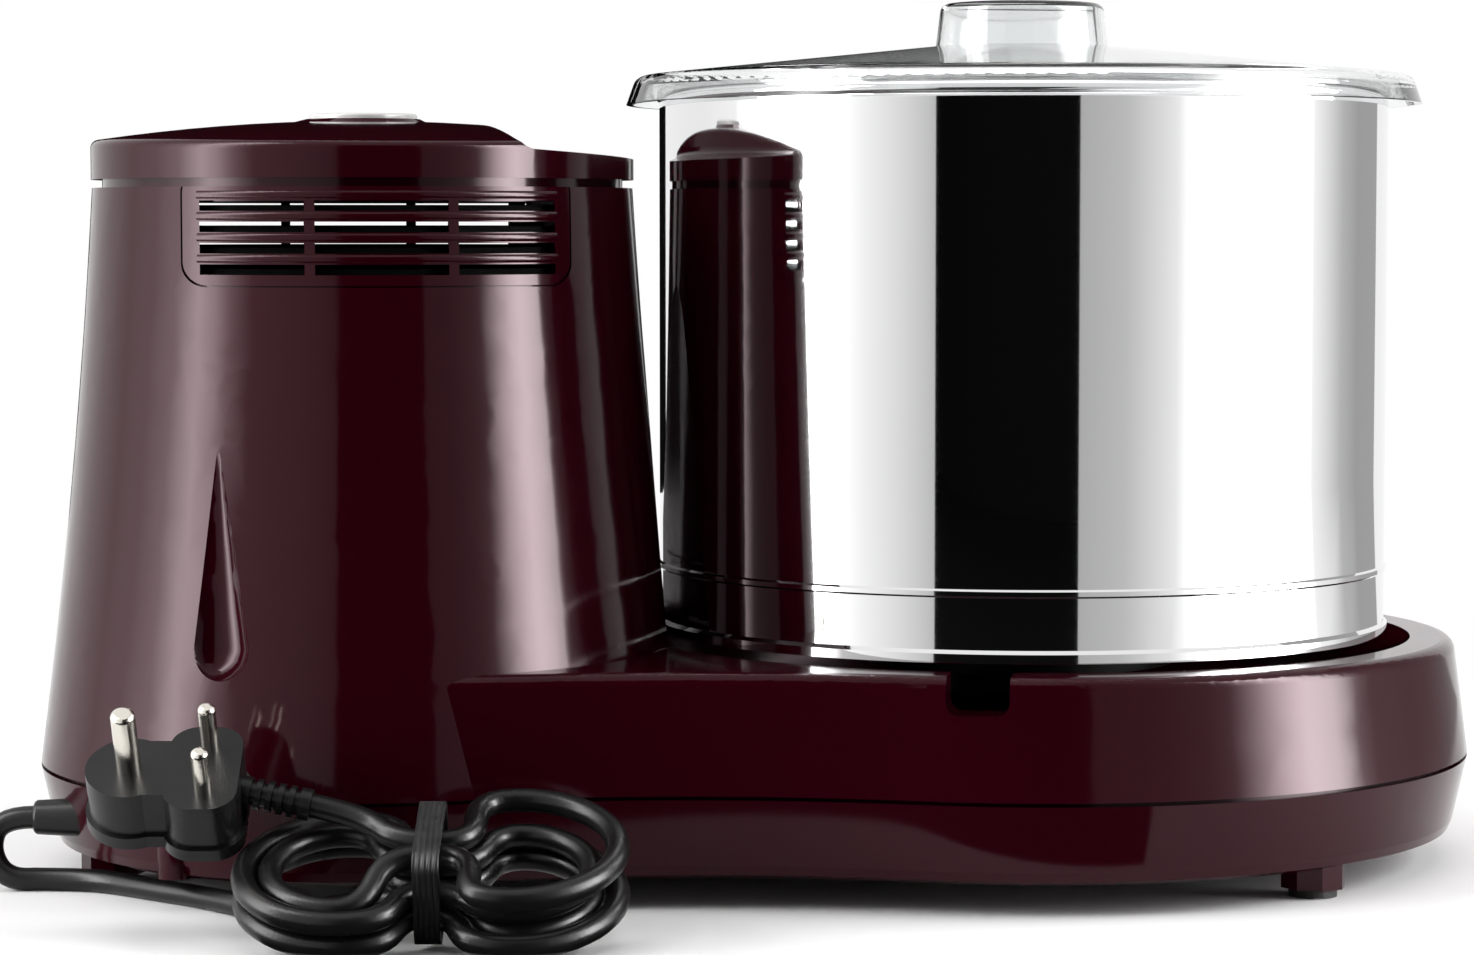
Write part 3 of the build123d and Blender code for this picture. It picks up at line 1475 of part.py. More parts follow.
# Electrics on the tray: capacitor and strap, overload protector with its reset button, terminal block
tray_floor_z = tray_z + wall
capacitor_place = (tower_x + capacitor_x, 0)
with BuildPart() as capacitor:
    add(post_solid(tray_floor_z, tray_floor_z + capacitor_height, capacitor_radius, capacitor_place))
    fillet(capacitor.edges().group_by(Axis.Z)[-1], wall)
    with BuildSketch(Plane.XY.offset(tray_floor_z + capacitor_height)):
        with Locations(capacitor_place):
            with GridLocations(0, capacitor_radius, 1, 2):
                Rectangle(tag_width, tag_thickness)
    extrude(amount=tag_height)
write(capacitor, "capacitor")
with BuildPart() as capacitor_strap:
    strap_radius = capacitor_radius + strap_sheet
    add(tube(strap_z, strap_z + strap_height, strap_radius, capacitor_radius, capacitor_place))
    with BuildSketch(Plane.XY.offset(tray_floor_z)):
        with Locations((capacitor_place[0], capacitor_radius + strap_foot / 2)):
            Rectangle(strap_height, strap_foot)
    extrude(amount=strap_sheet)
    with BuildSketch(Plane.XY.offset(tray_floor_z)):
        with Locations((capacitor_place[0], capacitor_radius + strap_sheet / 2)):
            Rectangle(strap_height, strap_sheet)
    extrude(amount=strap_z + strap_height - tray_floor_z)
write(capacitor_strap, "capacitor_strap")
reset_place = (tower_x + reset_x, reset_y)
with BuildPart() as overload_protector:
    with BuildSketch(Plane.XY.offset(tray_floor_z)):
        with Locations(reset_place):
            RectangleRounded(protector_side, protector_side, wall)
    extrude(amount=protector_height)
    with BuildSketch(Plane.XY.offset(tray_floor_z)):
        with Locations(reset_place):
            Circle(reset_flange_radius + rest_gap)
    extrude(amount=protector_height - wall, mode=Mode.SUBTRACT)
write(overload_protector, "overload_protector")
with BuildPart() as reset_button:
    with BuildSketch(Plane.XY.offset(tray_z - reset_travel)):
        with Locations(reset_place):
            Circle(reset_radius)
    extrude(amount=tray_floor_z + rest_gap + reset_travel - tray_z)
    fillet(reset_button.edges().group_by(Axis.Z)[0], reset_round)
    with BuildSketch(Plane.XY.offset(tray_floor_z + rest_gap)):
        with Locations(reset_place):
            Circle(reset_flange_radius)
    extrude(amount=wall)
write(reset_button, "reset_button")
block_place = (tower_x, block_y)
with BuildPart() as terminal_block:
    with BuildSketch(Plane.XY.offset(sheet_top_z)):
        with Locations(block_place):
            RectangleRounded(block_length, block_width, small_round)
    extrude(amount=block_height)
    with BuildSketch(Plane.XY.offset(sheet_top_z + block_height / 2)):
        with Locations(block_place):
            with GridLocations(block_length / block_ways, 0, block_ways, 1):
                Circle(block_screw_radius)
    extrude(amount=block_height / 2, mode=Mode.SUBTRACT)
write(terminal_block, "terminal_block")

# Rocker switch in the front wall: a bezel whose flange follows the wall, and a rocker on two pins
rocker_side = Plane(origin=switch_face.origin, x_dir=switch_face.y_dir, z_dir=switch_face.x_dir * -1)
with BuildPart() as switch_bezel:
    with BuildSketch(switch_face.offset(-switch_sink)):
        RectangleRounded(switch_width + 2 * switch_flange, switch_length + 2 * switch_flange, switch_flange)
    extrude(amount=switch_sink + switch_flange_thickness)
    fillet(switch_bezel.faces().sort_by(Axis.Y)[0].outer_wire().edges(), switch_round)
    add(tower_outer, mode=Mode.SUBTRACT)
    with BuildSketch(switch_face.offset(-switch_depth)):
        Rectangle(switch_width, switch_length)
    extrude(amount=switch_depth + switch_flange_thickness / 2)
    with BuildSketch(switch_face.offset(wall - switch_depth)):
        Rectangle(rocker_width + 2 * rocker_gap, rocker_length + 2 * rocker_gap)
    extrude(amount=switch_depth + overrun, mode=Mode.SUBTRACT)
    with BuildSketch(rocker_side.offset(-rocker_pin_half)):
        Circle(rocker_pin_radius + running_gap)
    extrude(amount=2 * rocker_pin_half, mode=Mode.SUBTRACT)
write(switch_bezel, "switch_bezel")
with BuildPart() as switch_rocker:
    with BuildSketch(rocker_side.offset(-rocker_width / 2)):
        with BuildLine():
            half = rocker_length / 2
            Polyline(
                (-half, -rocker_below),
                (half, -rocker_below),
                (half, rocker_above),
                (0, rocker_above - rocker_dip),
                (-half, rocker_above),
                close=True,
            )
        make_face()
    extrude(amount=rocker_width)
    with BuildSketch(rocker_side.offset(rest_gap - rocker_pin_half)):
        Circle(rocker_pin_radius)
    extrude(amount=2 * (rocker_pin_half - rest_gap))
write(switch_rocker, "switch_rocker")

# Screws: the long ones hold the tray to the housing, the short ones hold the chassis to its posts
with BuildPart() as housing_screws:
    with BuildSketch(Plane.XY.offset(screw_seat_z - screw_head_height)):
        with Locations(housing_bosses):
            Circle(screw_head_radius)
    extrude(amount=screw_head_height)
    with BuildSketch(Plane.XY.offset(screw_seat_z - screw_head_height)):
        with Locations(housing_bosses):
            Rectangle(screw_slot_length, screw_slot_width)
            Rectangle(screw_slot_width, screw_slot_length)
    extrude(amount=screw_head_height / 2, mode=Mode.SUBTRACT)
    with BuildSketch(Plane.XY.offset(screw_seat_z)):
        with Locations(housing_bosses):
            Circle(screw_radius)
    extrude(amount=housing_z + screw_bite - rest_gap - screw_seat_z)
write(housing_screws, "housing_screws")
with BuildPart() as chassis_screws:
    with BuildSketch(Plane.XY.offset(sheet_top_z)):
        with Locations(chassis_posts):
            Circle(screw_head_radius)
    extrude(amount=screw_head_height)
    with BuildSketch(Plane.XY.offset(tray_floor_z)):
        with Locations(chassis_posts):
            Circle(screw_radius)
    extrude(amount=sheet_top_z - tray_floor_z)
write(chassis_screws, "chassis_screws")

# Strain relief: a tapered sleeve against the tray's wall, its neck through the hole and a collar inside
gland_along = gland_plane.z_dir
with BuildPart() as strain_relief:
    with BuildSketch(gland_plane.offset(-overrun)):
        Circle(gland_radius)
    extrude(amount=gland_outside + overrun, taper=gland_taper)
    fillet(strain_relief.edges().sort_by(Axis.X)[-1], gland_round)
    add(base_slab(*tray_stages[-2], *tray_stages[-1]), mode=Mode.SUBTRACT)
    with BuildSketch(gland_plane.offset(-gland_inside)):
        Circle(gland_neck_radius)
    extrude(amount=gland_inside)
    with BuildSketch(gland_plane.offset(-gland_inside)):
        Circle(gland_radius)
    extrude(amount=wall)
write(strain_relief, "strain_relief")


def bend_radii(points):
    """The radius of each corner: a share of its shorter run over the tangent of half its turn."""
    radii = []
    for before, corner, after in zip(points, points[1:], points[2:]):
        incoming = corner - before
        outgoing = after - corner
        half_turn = radians(incoming.get_angle(outgoing)) / 2
        radii.append(bend_share * min(incoming.length, outgoing.length) / tan(half_turn))
    return radii


def describe(name, piece, path):
    """Prints a tube's length, its volume and what its section and length should give."""
    length = path.length
    ideal = pi * cord_radius**2 * length
    print(f"{name}: length {length:.1f}, volume {piece.part.volume:.0f} of {ideal:.0f}")


# Supply cord inside the tray: from the gland through the clamp to the terminal block
inner_start = gland_plane.origin - gland_along * gland_inside
inner_points = [inner_start, inner_start - gland_along * clamp_run]
inner_points += [tower_foot + Vector(*place) for place in inner_route]
with BuildPart() as inner_lead:
    with BuildLine() as inner_path:
        FilletPolyline(*inner_points, radius=bend_radii(inner_points))
    with BuildSketch(Plane(origin=inner_start, z_dir=-gland_along)):
        Circle(cord_radius)
    sweep(path=inner_path.wire())
write(inner_lead, "inner_lead")
clamp_middle = inner_start - gland_along * (clamp_run / 2)
clamp_foot = Vector(clamp_middle.X, clamp_middle.Y, tray_floor_z)
with BuildPart() as cord_clamp:
    with BuildSketch(Plane(origin=clamp_foot, x_dir=gland_along, z_dir=(0, 0, 1))):
        RectangleRounded(clamp_length, clamp_width, small_round)
    extrude(amount=gland_z + cord_diameter - tray_floor_z)
    with BuildSketch(Plane(origin=inner_start, z_dir=-gland_along)):
        Circle(cord_radius + running_gap)
    extrude(amount=clamp_run, mode=Mode.SUBTRACT)
write(cord_clamp, "cord_clamp")

# Plug: three round pins in a face that looks up and back, a two-lobed body, a ribbed relief at its wide end
plug_face = Plane(origin=plug_origin, x_dir=gland_along, z_dir=pin_direction)
relief_along = (relief_root - relief_end).normalized()
with BuildPart() as plug_body:
    with BuildSketch(plug_face.offset(-plug_thickness)) as plug_outline:
        Circle(earth_lobe_radius)
        with Locations((-lobe_length / 2, 0)):
            Rectangle(lobe_length, 2 * earth_lobe_radius - lobe_step)
        with Locations((-pin_triangle - lobe_shift, 0)):
            RectangleRounded(wide_lobe_length, wide_lobe_width, wide_lobe_round)
    extrude(amount=plug_thickness)
    with BuildSketch(plug_face.offset(-plug_thickness)):
        add(plug_outline.sketch_local)
        offset(amount=plug_lip)
    extrude(amount=plug_lip_height)
    with BuildSketch(Plane(origin=relief_end, z_dir=relief_along)):
        Circle(relief_radius)
    extrude(amount=(relief_root - relief_end).length + relief_bury)
    for rib in range(relief_ribs):
        with BuildSketch(Plane(origin=relief_end, z_dir=relief_along).offset(relief_rib_pitch * (rib + 1))):
            Circle(relief_radius + overrun)
            Circle(relief_radius - relief_groove, mode=Mode.SUBTRACT)
        extrude(amount=relief_rib_pitch / 2, mode=Mode.SUBTRACT)
write(plug_body, "plug_body")
with BuildPart() as plug_pins:
    with BuildSketch(plug_face):
        Circle(earth_pin_radius)
    extrude(amount=earth_pin_length)
    with BuildSketch(plug_face):
        with Locations((-pin_triangle, pin_spacing / 2), (-pin_triangle, -pin_spacing / 2)):
            Circle(pin_radius)
    extrude(amount=pin_length)
    for tip in plug_pins.faces().filter_by(lambda face: face.normal_at().dot(plug_face.z_dir) > facing_share):
        fillet(tip.edges(), pin_radius * pin_dome_share)
write(plug_pins, "plug_pins")

# Supply cord outside: from the gland it drops to the floor and runs along the tray's foot to the hank
lead_start = gland_plane.origin + gland_along * gland_outside
lead_points = [lead_start, lead_start + gland_along * lead_first_run]
lead_points += [tower_foot + Vector(*place) for place in lead_route]
lead_radii = bend_radii(lead_points)
print("lead radii", [round(radius, 1) for radius in lead_radii])
with BuildPart() as cord_lead:
    with BuildLine() as lead_path:
        FilletPolyline(*lead_points, radius=lead_radii)
    with BuildSketch(Plane(origin=lead_start, z_dir=gland_along)):
        Circle(cord_radius)
    sweep(path=lead_path.wire())
write(cord_lead, "cord_lead")
describe("cord_lead", cord_lead, lead_path.wire())

# Hank: one unbroken tube, its loops all lying the same way and drawn in at the tie
hank_along = gland_along
hank_across = Vector(*hank_across_direction).normalized()
hank_up = hank_along.cross(hank_across) * -1
low_layer, middle_layer, top_layer = (-1.5 * cord_pitch, -0.5 * cord_pitch, 0.5 * cord_pitch)
inner_slot = cord_pitch / 2
outer_slot = 1.5 * cord_pitch


def hank_point(along, across, up):
    """A place in the hank's own tilted frame."""
    return hank_middle + hank_along * along + hank_across * across + hank_up * up


def arc(start, end, tangent):
    """One arc of the tube; it leaves along a tangent and its arriving tangent is handed on."""
    curve = TangentArc(start, end, tangent=tangent)
    return curve % 1


def sway(start, end, tangent, waist_share):
    """Two arcs that carry the tube from one straight course to another beside it."""
    joint = start + (end - start) * waist_share
    return arc(joint, end, arc(start, joint, tangent))


def biarc(start, leaving, end, arriving):
    """Two arcs between any two places, with the tangents at both ends given."""
    chord = end - start
    both = leaving + arriving
    a = 2 * (leaving.dot(arriving) - 1)
    b = -2 * chord.dot(both)
    c = chord.dot(chord)
    reach = (-b - sqrt(b * b - 4 * a * c)) / (2 * a)
    joint = (start + leaving * reach + end - arriving * reach) / 2
    return arc(joint, end, arc(start, joint, leaving))


# Each pass through the tie has a slot across and a layer; each loop between two passes has a half width
waist_passes = [
    (inner_slot, low_layer),
    (inner_slot, low_layer),
    (outer_slot, low_layer),
    (outer_slot, middle_layer),
    (outer_slot, middle_layer),
    (inner_slot, middle_layer),
    (inner_slot, top_layer),
    (inner_slot, top_layer),
]
loop_widths = [hank_inner, hank_outer, hank_outer, hank_outer, hank_inner, hank_inner, hank_outer]


def waist_part(slot, width):
    """The share of a sway that the arc at the tie takes, so that courses side by side stay side by side."""
    rise = width - slot
    both_radii = (hank_shoulder**2 + rise**2) / (2 * rise)
    outermost = (slot == outer_slot) + (width == hank_outer) - 1
    return (both_radii - outermost * cord_pitch) / (2 * both_radii)


hank_start = lead_points[-1]
hank_start_along = (lead_points[-1] - lead_points[-2]).normalized()
first_slot, first_layer = waist_passes[0]
last_slot, last_layer = waist_passes[-1]
with BuildPart() as cord_hank:
    with BuildLine() as hank_path:
        Line(hank_start, hank_start + hank_start_along * cord_diameter)
        first_waist = hank_point(0, -first_slot, first_layer)
        biarc(hank_start + hank_start_along * cord_diameter, hank_start_along, first_waist, hank_along * -1)
        for turn, width in enumerate(loop_widths):
            side = -1 if turn % 2 == 0 else 1
            slot, layer = waist_passes[turn]
            next_slot, next_layer = waist_passes[turn + 1]
            course = hank_along * side
            waist = hank_point(0, side * slot, layer)
            shoulder = hank_point(side * hank_shoulder, side * width, layer)
            tip = hank_point(side * (hank_shoulder + width), 0, layer)
            far_shoulder = hank_point(side * hank_shoulder, -side * width, layer)
            next_waist = hank_point(0, -side * next_slot, next_layer)
            course = sway(waist, shoulder, course, waist_part(slot, width))
            course = arc(shoulder, tip, course)
            course = arc(tip, far_shoulder, course)
            sway(far_shoulder, next_waist, course, 1 - waist_part(next_slot, width))
        last_waist = hank_point(0, last_slot, last_layer)
        hank_end = relief_end - relief_along * cord_diameter
        biarc(last_waist, hank_along, hank_end, relief_along)
        Line(hank_end, relief_end)
    with BuildSketch(Plane(origin=hank_start, z_dir=hank_start_along)):
        Circle(cord_radius)
    sweep(path=hank_path.wire())
write(cord_hank, "cord_hank")
describe("cord_hank", cord_hank, hank_path.wire())


def least_gap(path, spacing):
    """The least gap between a tube's courses, measured between points along its middle line."""
    count = int(path.length / spacing)
    points = [path @ (step / count) for step in range(count + 1)]
    places = [(point.X, point.Y, point.Z) for point in points]
    skip = int(gap_skip / spacing)
    least = path.length
    for first, (x, y, z) in enumerate(places):
        for other_x, other_y, other_z in places[first + skip :]:
            far = (x - other_x) ** 2 + (y - other_y) ** 2 + (z - other_z) ** 2
            least = min(least, far)
    return sqrt(least) - cord_diameter


print(f"hank: least gap to itself {least_gap(hank_path.wire(), gap_spacing):.2f}")

# Tie: a band round the hank's waist
tie_origin = hank_point(-tie_width / 2, 0, (low_layer + top_layer) / 2)
tie_across = 2 * (outer_slot + cord_radius + tie_gap)
tie_up = top_layer - low_layer + 2 * (cord_radius + tie_gap)
with BuildPart() as cord_tie:
    with BuildSketch(Plane(origin=tie_origin, x_dir=hank_across, z_dir=hank_along)):
        RectangleRounded(tie_across + 2 * tie_sheet, tie_up + 2 * tie_sheet, cord_radius + tie_sheet)
        RectangleRounded(tie_across, tie_up, cord_radius, mode=Mode.SUBTRACT)
    extrude(amount=tie_width)
write(cord_tie, "cord_tie")
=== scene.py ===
# %% [markdown]
# # A table-top wet grinder
#
# The machine grinds soaked rice and lentils to batter. A steel drum turns about a post, and two
# conical stones roll on the flat stone in its floor. Beside the drum stands a moulded tower with the
# motor. The solids come ready from the CAD model, so this lesson gives them what CAD can't: the
# supply cord as one supple line, lips behind the grilles, the finish of each surface, the light and
# the camera. Every length is in metres, with +Z up, +X towards the tower and +Y towards the
# machine's rear, where the camera is.

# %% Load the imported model
import json
from math import atan2, cos, pi, radians, sin, sqrt, tan

import bmesh
import bpy
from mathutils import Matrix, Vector


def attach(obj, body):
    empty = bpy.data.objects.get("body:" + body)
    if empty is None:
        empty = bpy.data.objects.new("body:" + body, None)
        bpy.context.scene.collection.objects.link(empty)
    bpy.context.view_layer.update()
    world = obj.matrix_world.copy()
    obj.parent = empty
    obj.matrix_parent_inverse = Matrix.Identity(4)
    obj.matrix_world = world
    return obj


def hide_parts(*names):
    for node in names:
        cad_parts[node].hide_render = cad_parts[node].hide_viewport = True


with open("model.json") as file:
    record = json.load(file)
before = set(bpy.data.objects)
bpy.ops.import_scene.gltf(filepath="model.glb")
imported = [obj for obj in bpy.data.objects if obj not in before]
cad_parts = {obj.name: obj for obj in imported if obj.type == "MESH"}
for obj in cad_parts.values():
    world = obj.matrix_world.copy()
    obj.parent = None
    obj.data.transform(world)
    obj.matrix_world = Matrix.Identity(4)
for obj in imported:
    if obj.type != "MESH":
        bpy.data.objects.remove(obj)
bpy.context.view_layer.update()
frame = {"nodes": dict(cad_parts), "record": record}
nodes = frame["nodes"]
print("pieces from the model:", len(nodes))

# %% [markdown]
# ## The camera
#
# The photograph was taken with a long lens from the machine's rear, a little above the drum's
# middle. A long lens keeps the tower's upright lines almost parallel. The place and the direction
# were solved from the base's outline, the drum's rim and the seam.

# %% Camera
camera_data = bpy.data.cameras.new("studio_camera")
camera_data.lens = 97.45
camera_data.sensor_width = 36.0
camera = bpy.data.objects.new("studio_camera", camera_data)
camera.location = (0.2000, 1.2706, 0.205)
looking = Vector((-0.1492, -0.98669, -0.0647))
camera.rotation_euler = looking.to_track_quat("-Z", "Y").to_euler()
bpy.context.scene.collection.objects.link(camera)
bpy.context.scene.camera = camera
print("camera at", tuple(round(value, 3) for value in camera.location))

# %% [markdown]
# ## The supply cord
#
# The cord is a single piece of flexible cable, folded into a hank behind the machine. A NURBS
# curve suits it, because a few control points give one smooth line with no joints. The points are
# the places where its courses would meet if they were straight. In the hank each half loop sways
# out from the tie, goes round the end and sways back. The courses lie side by side at one pitch,
# in three layers.

# %% Sizes of the cord and the hank
cord_diameter = 0.007
cord_pitch = 0.0075
hank_middle = Vector((0.1185, 0.152, 0.024))
gland_turn = radians(8.6)
hank_along = Vector((cos(gland_turn), -sin(gland_turn), 0))
hank_across = Vector((-0.1405, -0.929, 0.342)).normalized()
hank_up = hank_across.cross(hank_along)
hank_outer = 0.029
hank_inner = hank_outer - cord_pitch
hank_shoulder = 0.024
inner_slot = cord_pitch / 2
outer_slot = 1.5 * cord_pitch
low_layer = -1.5 * cord_pitch
middle_layer = -0.5 * cord_pitch
top_layer = 0.5 * cord_pitch
gland_wall = Vector((0.2215, 0.040, 0.022))
gland_length = 0.010
first_run = 0.0103
print("the hank's up direction:", tuple(round(value, 3) for value in hank_up))

# %% Points of the lead, from the strain relief to the hank
lead_start = gland_wall + hank_along * gland_length
lead_points = [lead_start, lead_start + hank_along * first_run]
on_floor = cord_diameter / 2
lead_points += [
    Vector((0.2454, 0.0392, 0.0128)),
    Vector((0.2403, 0.0420, on_floor)),
    Vector((0.2270, 0.0425, on_floor)),
    Vector((0.2110, 0.0480, on_floor)),
    Vector((0.1975, 0.0640, on_floor)),
    Vector((0.1830, 0.0800, on_floor)),
    Vector((0.1720, 0.0960, on_floor)),
]
print("points of the lead:", len(lead_points))


# %% A place in the hank's own tilted frame
def hank_point(along, across, up):
    """A place given along the hank, across it and up from its middle."""
    return hank_middle + hank_along * along + hank_across * across + hank_up * up


def waist_share(slot, width):
    """The share of a sway that the bend at the tie takes."""
    rise = width - slot
    both_radii = (hank_shoulder**2 + rise**2) / (2 * rise)
    outermost = (slot == outer_slot) + (width == hank_outer) - 1
    return (both_radii - outermost * cord_pitch) / (2 * both_radii)


def sway_reach(slot, width, share):
    """How far from its end a bend's corner lies, for a bend that takes a share of the sway."""
    slope = atan2(width - slot, hank_shoulder)
    return share * hank_shoulder / (2 * cos(slope) ** 2)


print("a bend at the tie reaches", round(sway_reach(inner_slot, hank_outer, 0.5), 4))


# %% Corners of one half loop
def half_loop(side, slot, layer, width, next_slot, next_layer):
    """The corners of a half loop: out from the tie, round the end and back to the tie."""
    leave = waist_share(slot, width)
    back = waist_share(next_slot, width)
    corner = width * tan(pi / 8)
    plan = [
        (sway_reach(slot, width, leave), slot, layer),
        (hank_shoulder - sway_reach(slot, width, 1 - leave), width, layer),
        (hank_shoulder + corner, width, layer),
        (hank_shoulder + width, corner, layer),
        (hank_shoulder + width, -corner, layer),
        (hank_shoulder + corner, -width, layer),
        (hank_shoulder - sway_reach(next_slot, width, 1 - back), -width, layer),
        (sway_reach(next_slot, width, back), -next_slot, next_layer),
    ]
    return [hank_point(side * along, side * across, up) for along, across, up in plan]


waist_passes = [
    (inner_slot, low_layer),
    (inner_slot, low_layer),
    (outer_slot, low_layer),
    (outer_slot, middle_layer),
    (outer_slot, middle_layer),
    (inner_slot, middle_layer),
    (inner_slot, top_layer),
    (inner_slot, top_layer),
]
loop_widths = [hank_inner, hank_outer, hank_outer, hank_outer, hank_inner, hank_inner, hank_outer]
hank_points = []
for turn, width in enumerate(loop_widths):
    side = -1 if turn % 2 == 0 else 1
    hank_points += half_loop(side, *waist_passes[turn], width, *waist_passes[turn + 1])
print("points of the hank:", len(hank_points))


# %% Corners where the lead joins the hank and the hank goes up to the plug
def joining_corners(start, leaving, end, arriving):
    """The two corners of a pair of bends between places with known directions."""
    chord = end - start
    squared = 2 * (leaving.dot(arriving) - 1)
    linear = -2 * chord.dot(leaving + arriving)
    constant = chord.dot(chord)
    reach = (-linear - sqrt(linear * linear - 4 * squared * constant)) / (2 * squared)
    return [start + leaving * reach, end - arriving * reach]


relief_root = Vector((0.1715, 0.1272, 0.0416))
relief_end = Vector((0.1510, 0.1310, 0.0374))
relief_along = (relief_root - relief_end).normalized()
lead_along = (lead_points[-1] - lead_points[-2]).normalized()
lead_end = lead_points[-1] + lead_along * cord_diameter
first_waist = hank_point(0, -inner_slot, low_layer)
into_hank = joining_corners(lead_end, lead_along, first_waist, -hank_along)
last_waist = hank_point(0, inner_slot, top_layer)
hank_end = relief_end - relief_along * cord_diameter
out_of_hank = joining_corners(last_waist, hank_along, hank_end, relief_along)
cord_points = lead_points + into_hank + hank_points + out_of_hank + [relief_end]
print("points of the cord:", len(cord_points))


# %% One smooth curve through the cord's route
def spline_curve(name, points, thickness):
    """A round tube along a NURBS line with these control points."""
    curve = bpy.data.curves.new(name, "CURVE")
    curve.dimensions = "3D"
    curve.resolution_u = 6
    # Each point's radius scales the bevel, so with a depth of 1 that radius is the tube's own.
    curve.bevel_depth = 1.0
    curve.bevel_resolution = 5
    curve.use_fill_caps = True
    spline = curve.splines.new("NURBS")
    spline.points.add(len(points) - 1)
    for point, place in zip(spline.points, points):
        point.co = (*place, 1.0)
        point.radius = thickness / 2
    spline.order_u = 3
    spline.use_endpoint_u = True
    piece = bpy.data.objects.new(name, curve)
    bpy.context.scene.collection.objects.link(piece)
    return piece


def line_length(piece):
    """The length of a curve's own middle line."""
    bare = piece.data.copy()
    bare.bevel_depth = 0
    stand_in = bpy.data.objects.new("measure", bare)
    line = bpy.data.meshes.new_from_object(stand_in)
    total = 0.0
    for edge in line.edges:
        start, end = (line.vertices[index].co for index in edge.vertices)
        total += (end - start).length
    bpy.data.objects.remove(stand_in)
    bpy.data.curves.remove(bare)
    bpy.data.meshes.remove(line)
    return total


supply_cord = spline_curve("supply_cord", cord_points, cord_diameter)
cord_length = line_length(supply_cord)
print("length of the cord:", round(cord_length, 4))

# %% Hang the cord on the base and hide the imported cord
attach(supply_cord, "base")
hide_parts("cord_lead", "cord_hank")
print("the cord ends in its plug")

# %% [markdown]
# ## Lips behind the grilles
#
# The bars of a motor's grille are deeper inside than they look from outside, so that nothing can be
# poked through. Each slot has a lip behind its lower part, and only a thin line of daylight
# passes through both grilles. The lips are near-black and dull, a painted shade for the dark inside of
# the tower. The lips follow the inner edge of the slots in the imported model.

# %% Sizes of the lips
slot_count = 4
slot_pitch = 0.0063
lowest_slot = 0.18845
slot_levels = [lowest_slot + row * slot_pitch for row in range(slot_count)]
tower_middle = 0.1275
slots_reach = 0.0530
level_margin = 0.0001
lip_step = 0.003
lip_height = 0.00175
lip_root = 0.0008
lip_depth = 0.0010
print("floors of the slots:", [round(level, 5) for level in slot_levels])


# %% Where a slot's inner edge runs
def slot_line(grille, side, level):
    """Places along the inner edge of one slot's floor, from one end of the grille to the other."""
    innermost = {}
    for vertex in grille.data.vertices:
        place = grille.matrix_world @ vertex.co
        if abs(place.z - level) < level_margin and abs(place.x - tower_middle) < slots_reach:
            stripe = round(place.x / lip_step)
            if stripe not in innermost or side * place.y < side * innermost[stripe].y:
                innermost[stripe] = place
    return [innermost[stripe] for stripe in sorted(innermost)]


def lip_section(place, side, level):
    """The corners of a lip's section at one place, on the grille's face and then inside it."""
    inside = place.y - side * lip_depth
    low = level - lip_root
    high = level + lip_height
    return [
        (place.x, place.y, low),
        (place.x, place.y, high),
        (place.x, inside, high),
        (place.x, inside, low),
    ]


print("places along the lowest slot:", len(slot_line(nodes["rear_grille"], 1, slot_levels[0])))


# %% Lips as thin blades behind the slots
def grille_lips(name, grille, side):
    """A blade behind the lower part of each slot, following the grille's inner face."""
    shape = bmesh.new()
    for level in slot_levels:
        sections = []
        for place in slot_line(grille, side, level):
            sections.append([shape.verts.new(corner) for corner in lip_section(place, side, level)])
        for before, after in zip(sections, sections[1:]):
            for corner in range(4):
                turn = (corner + 1) % 4
                shape.faces.new((before[corner], after[corner], after[turn], before[turn]))
        shape.faces.new(sections[0])
        shape.faces.new(sections[-1])
    bmesh.ops.recalc_face_normals(shape, faces=shape.faces)
    mesh = bpy.data.meshes.new(name)
    shape.to_mesh(mesh)
    shape.free()
    piece = bpy.data.objects.new(name, mesh)
    bpy.context.scene.collection.objects.link(piece)
    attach(piece, "base")
    return piece


rear_lips = grille_lips("rear_grille_lips", nodes["rear_grille"], 1)
front_lips = grille_lips("front_grille_lips", nodes["front_grille"], -1)
print("points of the lips:", len(rear_lips.data.vertices), len(front_lips.data.vertices))

# %% [markdown]
# ## Shared surface effects
#
# Real surfaces are never one even value. Three effects turn up again and again here, so each is
# built once as a node group: a skin whose gloss and level drift slightly, a colour that drifts
# between two tones, and fine marks that run round a turned piece. Each material puts in its own
# sizes. All of them read the object's own coordinates, so nothing slides when the view changes.


# %% Helpers for groups and materials
def link_noise(tree, vector, scale, detail):
    """A noise texture on the given coordinates."""
    noise = tree.nodes.new("ShaderNodeTexNoise")
    noise.inputs["Detail"].default_value = detail
    tree.links.new(vector, noise.inputs["Vector"])
    if isinstance(scale, float):
        noise.inputs["Scale"].default_value = scale
    else:
        tree.links.new(scale, noise.inputs["Scale"])
    return noise


def new_group(name, inputs, outputs):
    """An empty node group with named sockets, each with its kind and starting value."""
    group = bpy.data.node_groups.new(name, "ShaderNodeTree")
    for label, kind, value in inputs:
        socket = group.interface.new_socket(label, in_out="INPUT", socket_type=kind)
        socket.default_value = value
    for label, kind in outputs:
        group.interface.new_socket(label, in_out="OUTPUT", socket_type=kind)
    return group, group.nodes.new("NodeGroupInput"), group.nodes.new("NodeGroupOutput")


print("helpers ready")

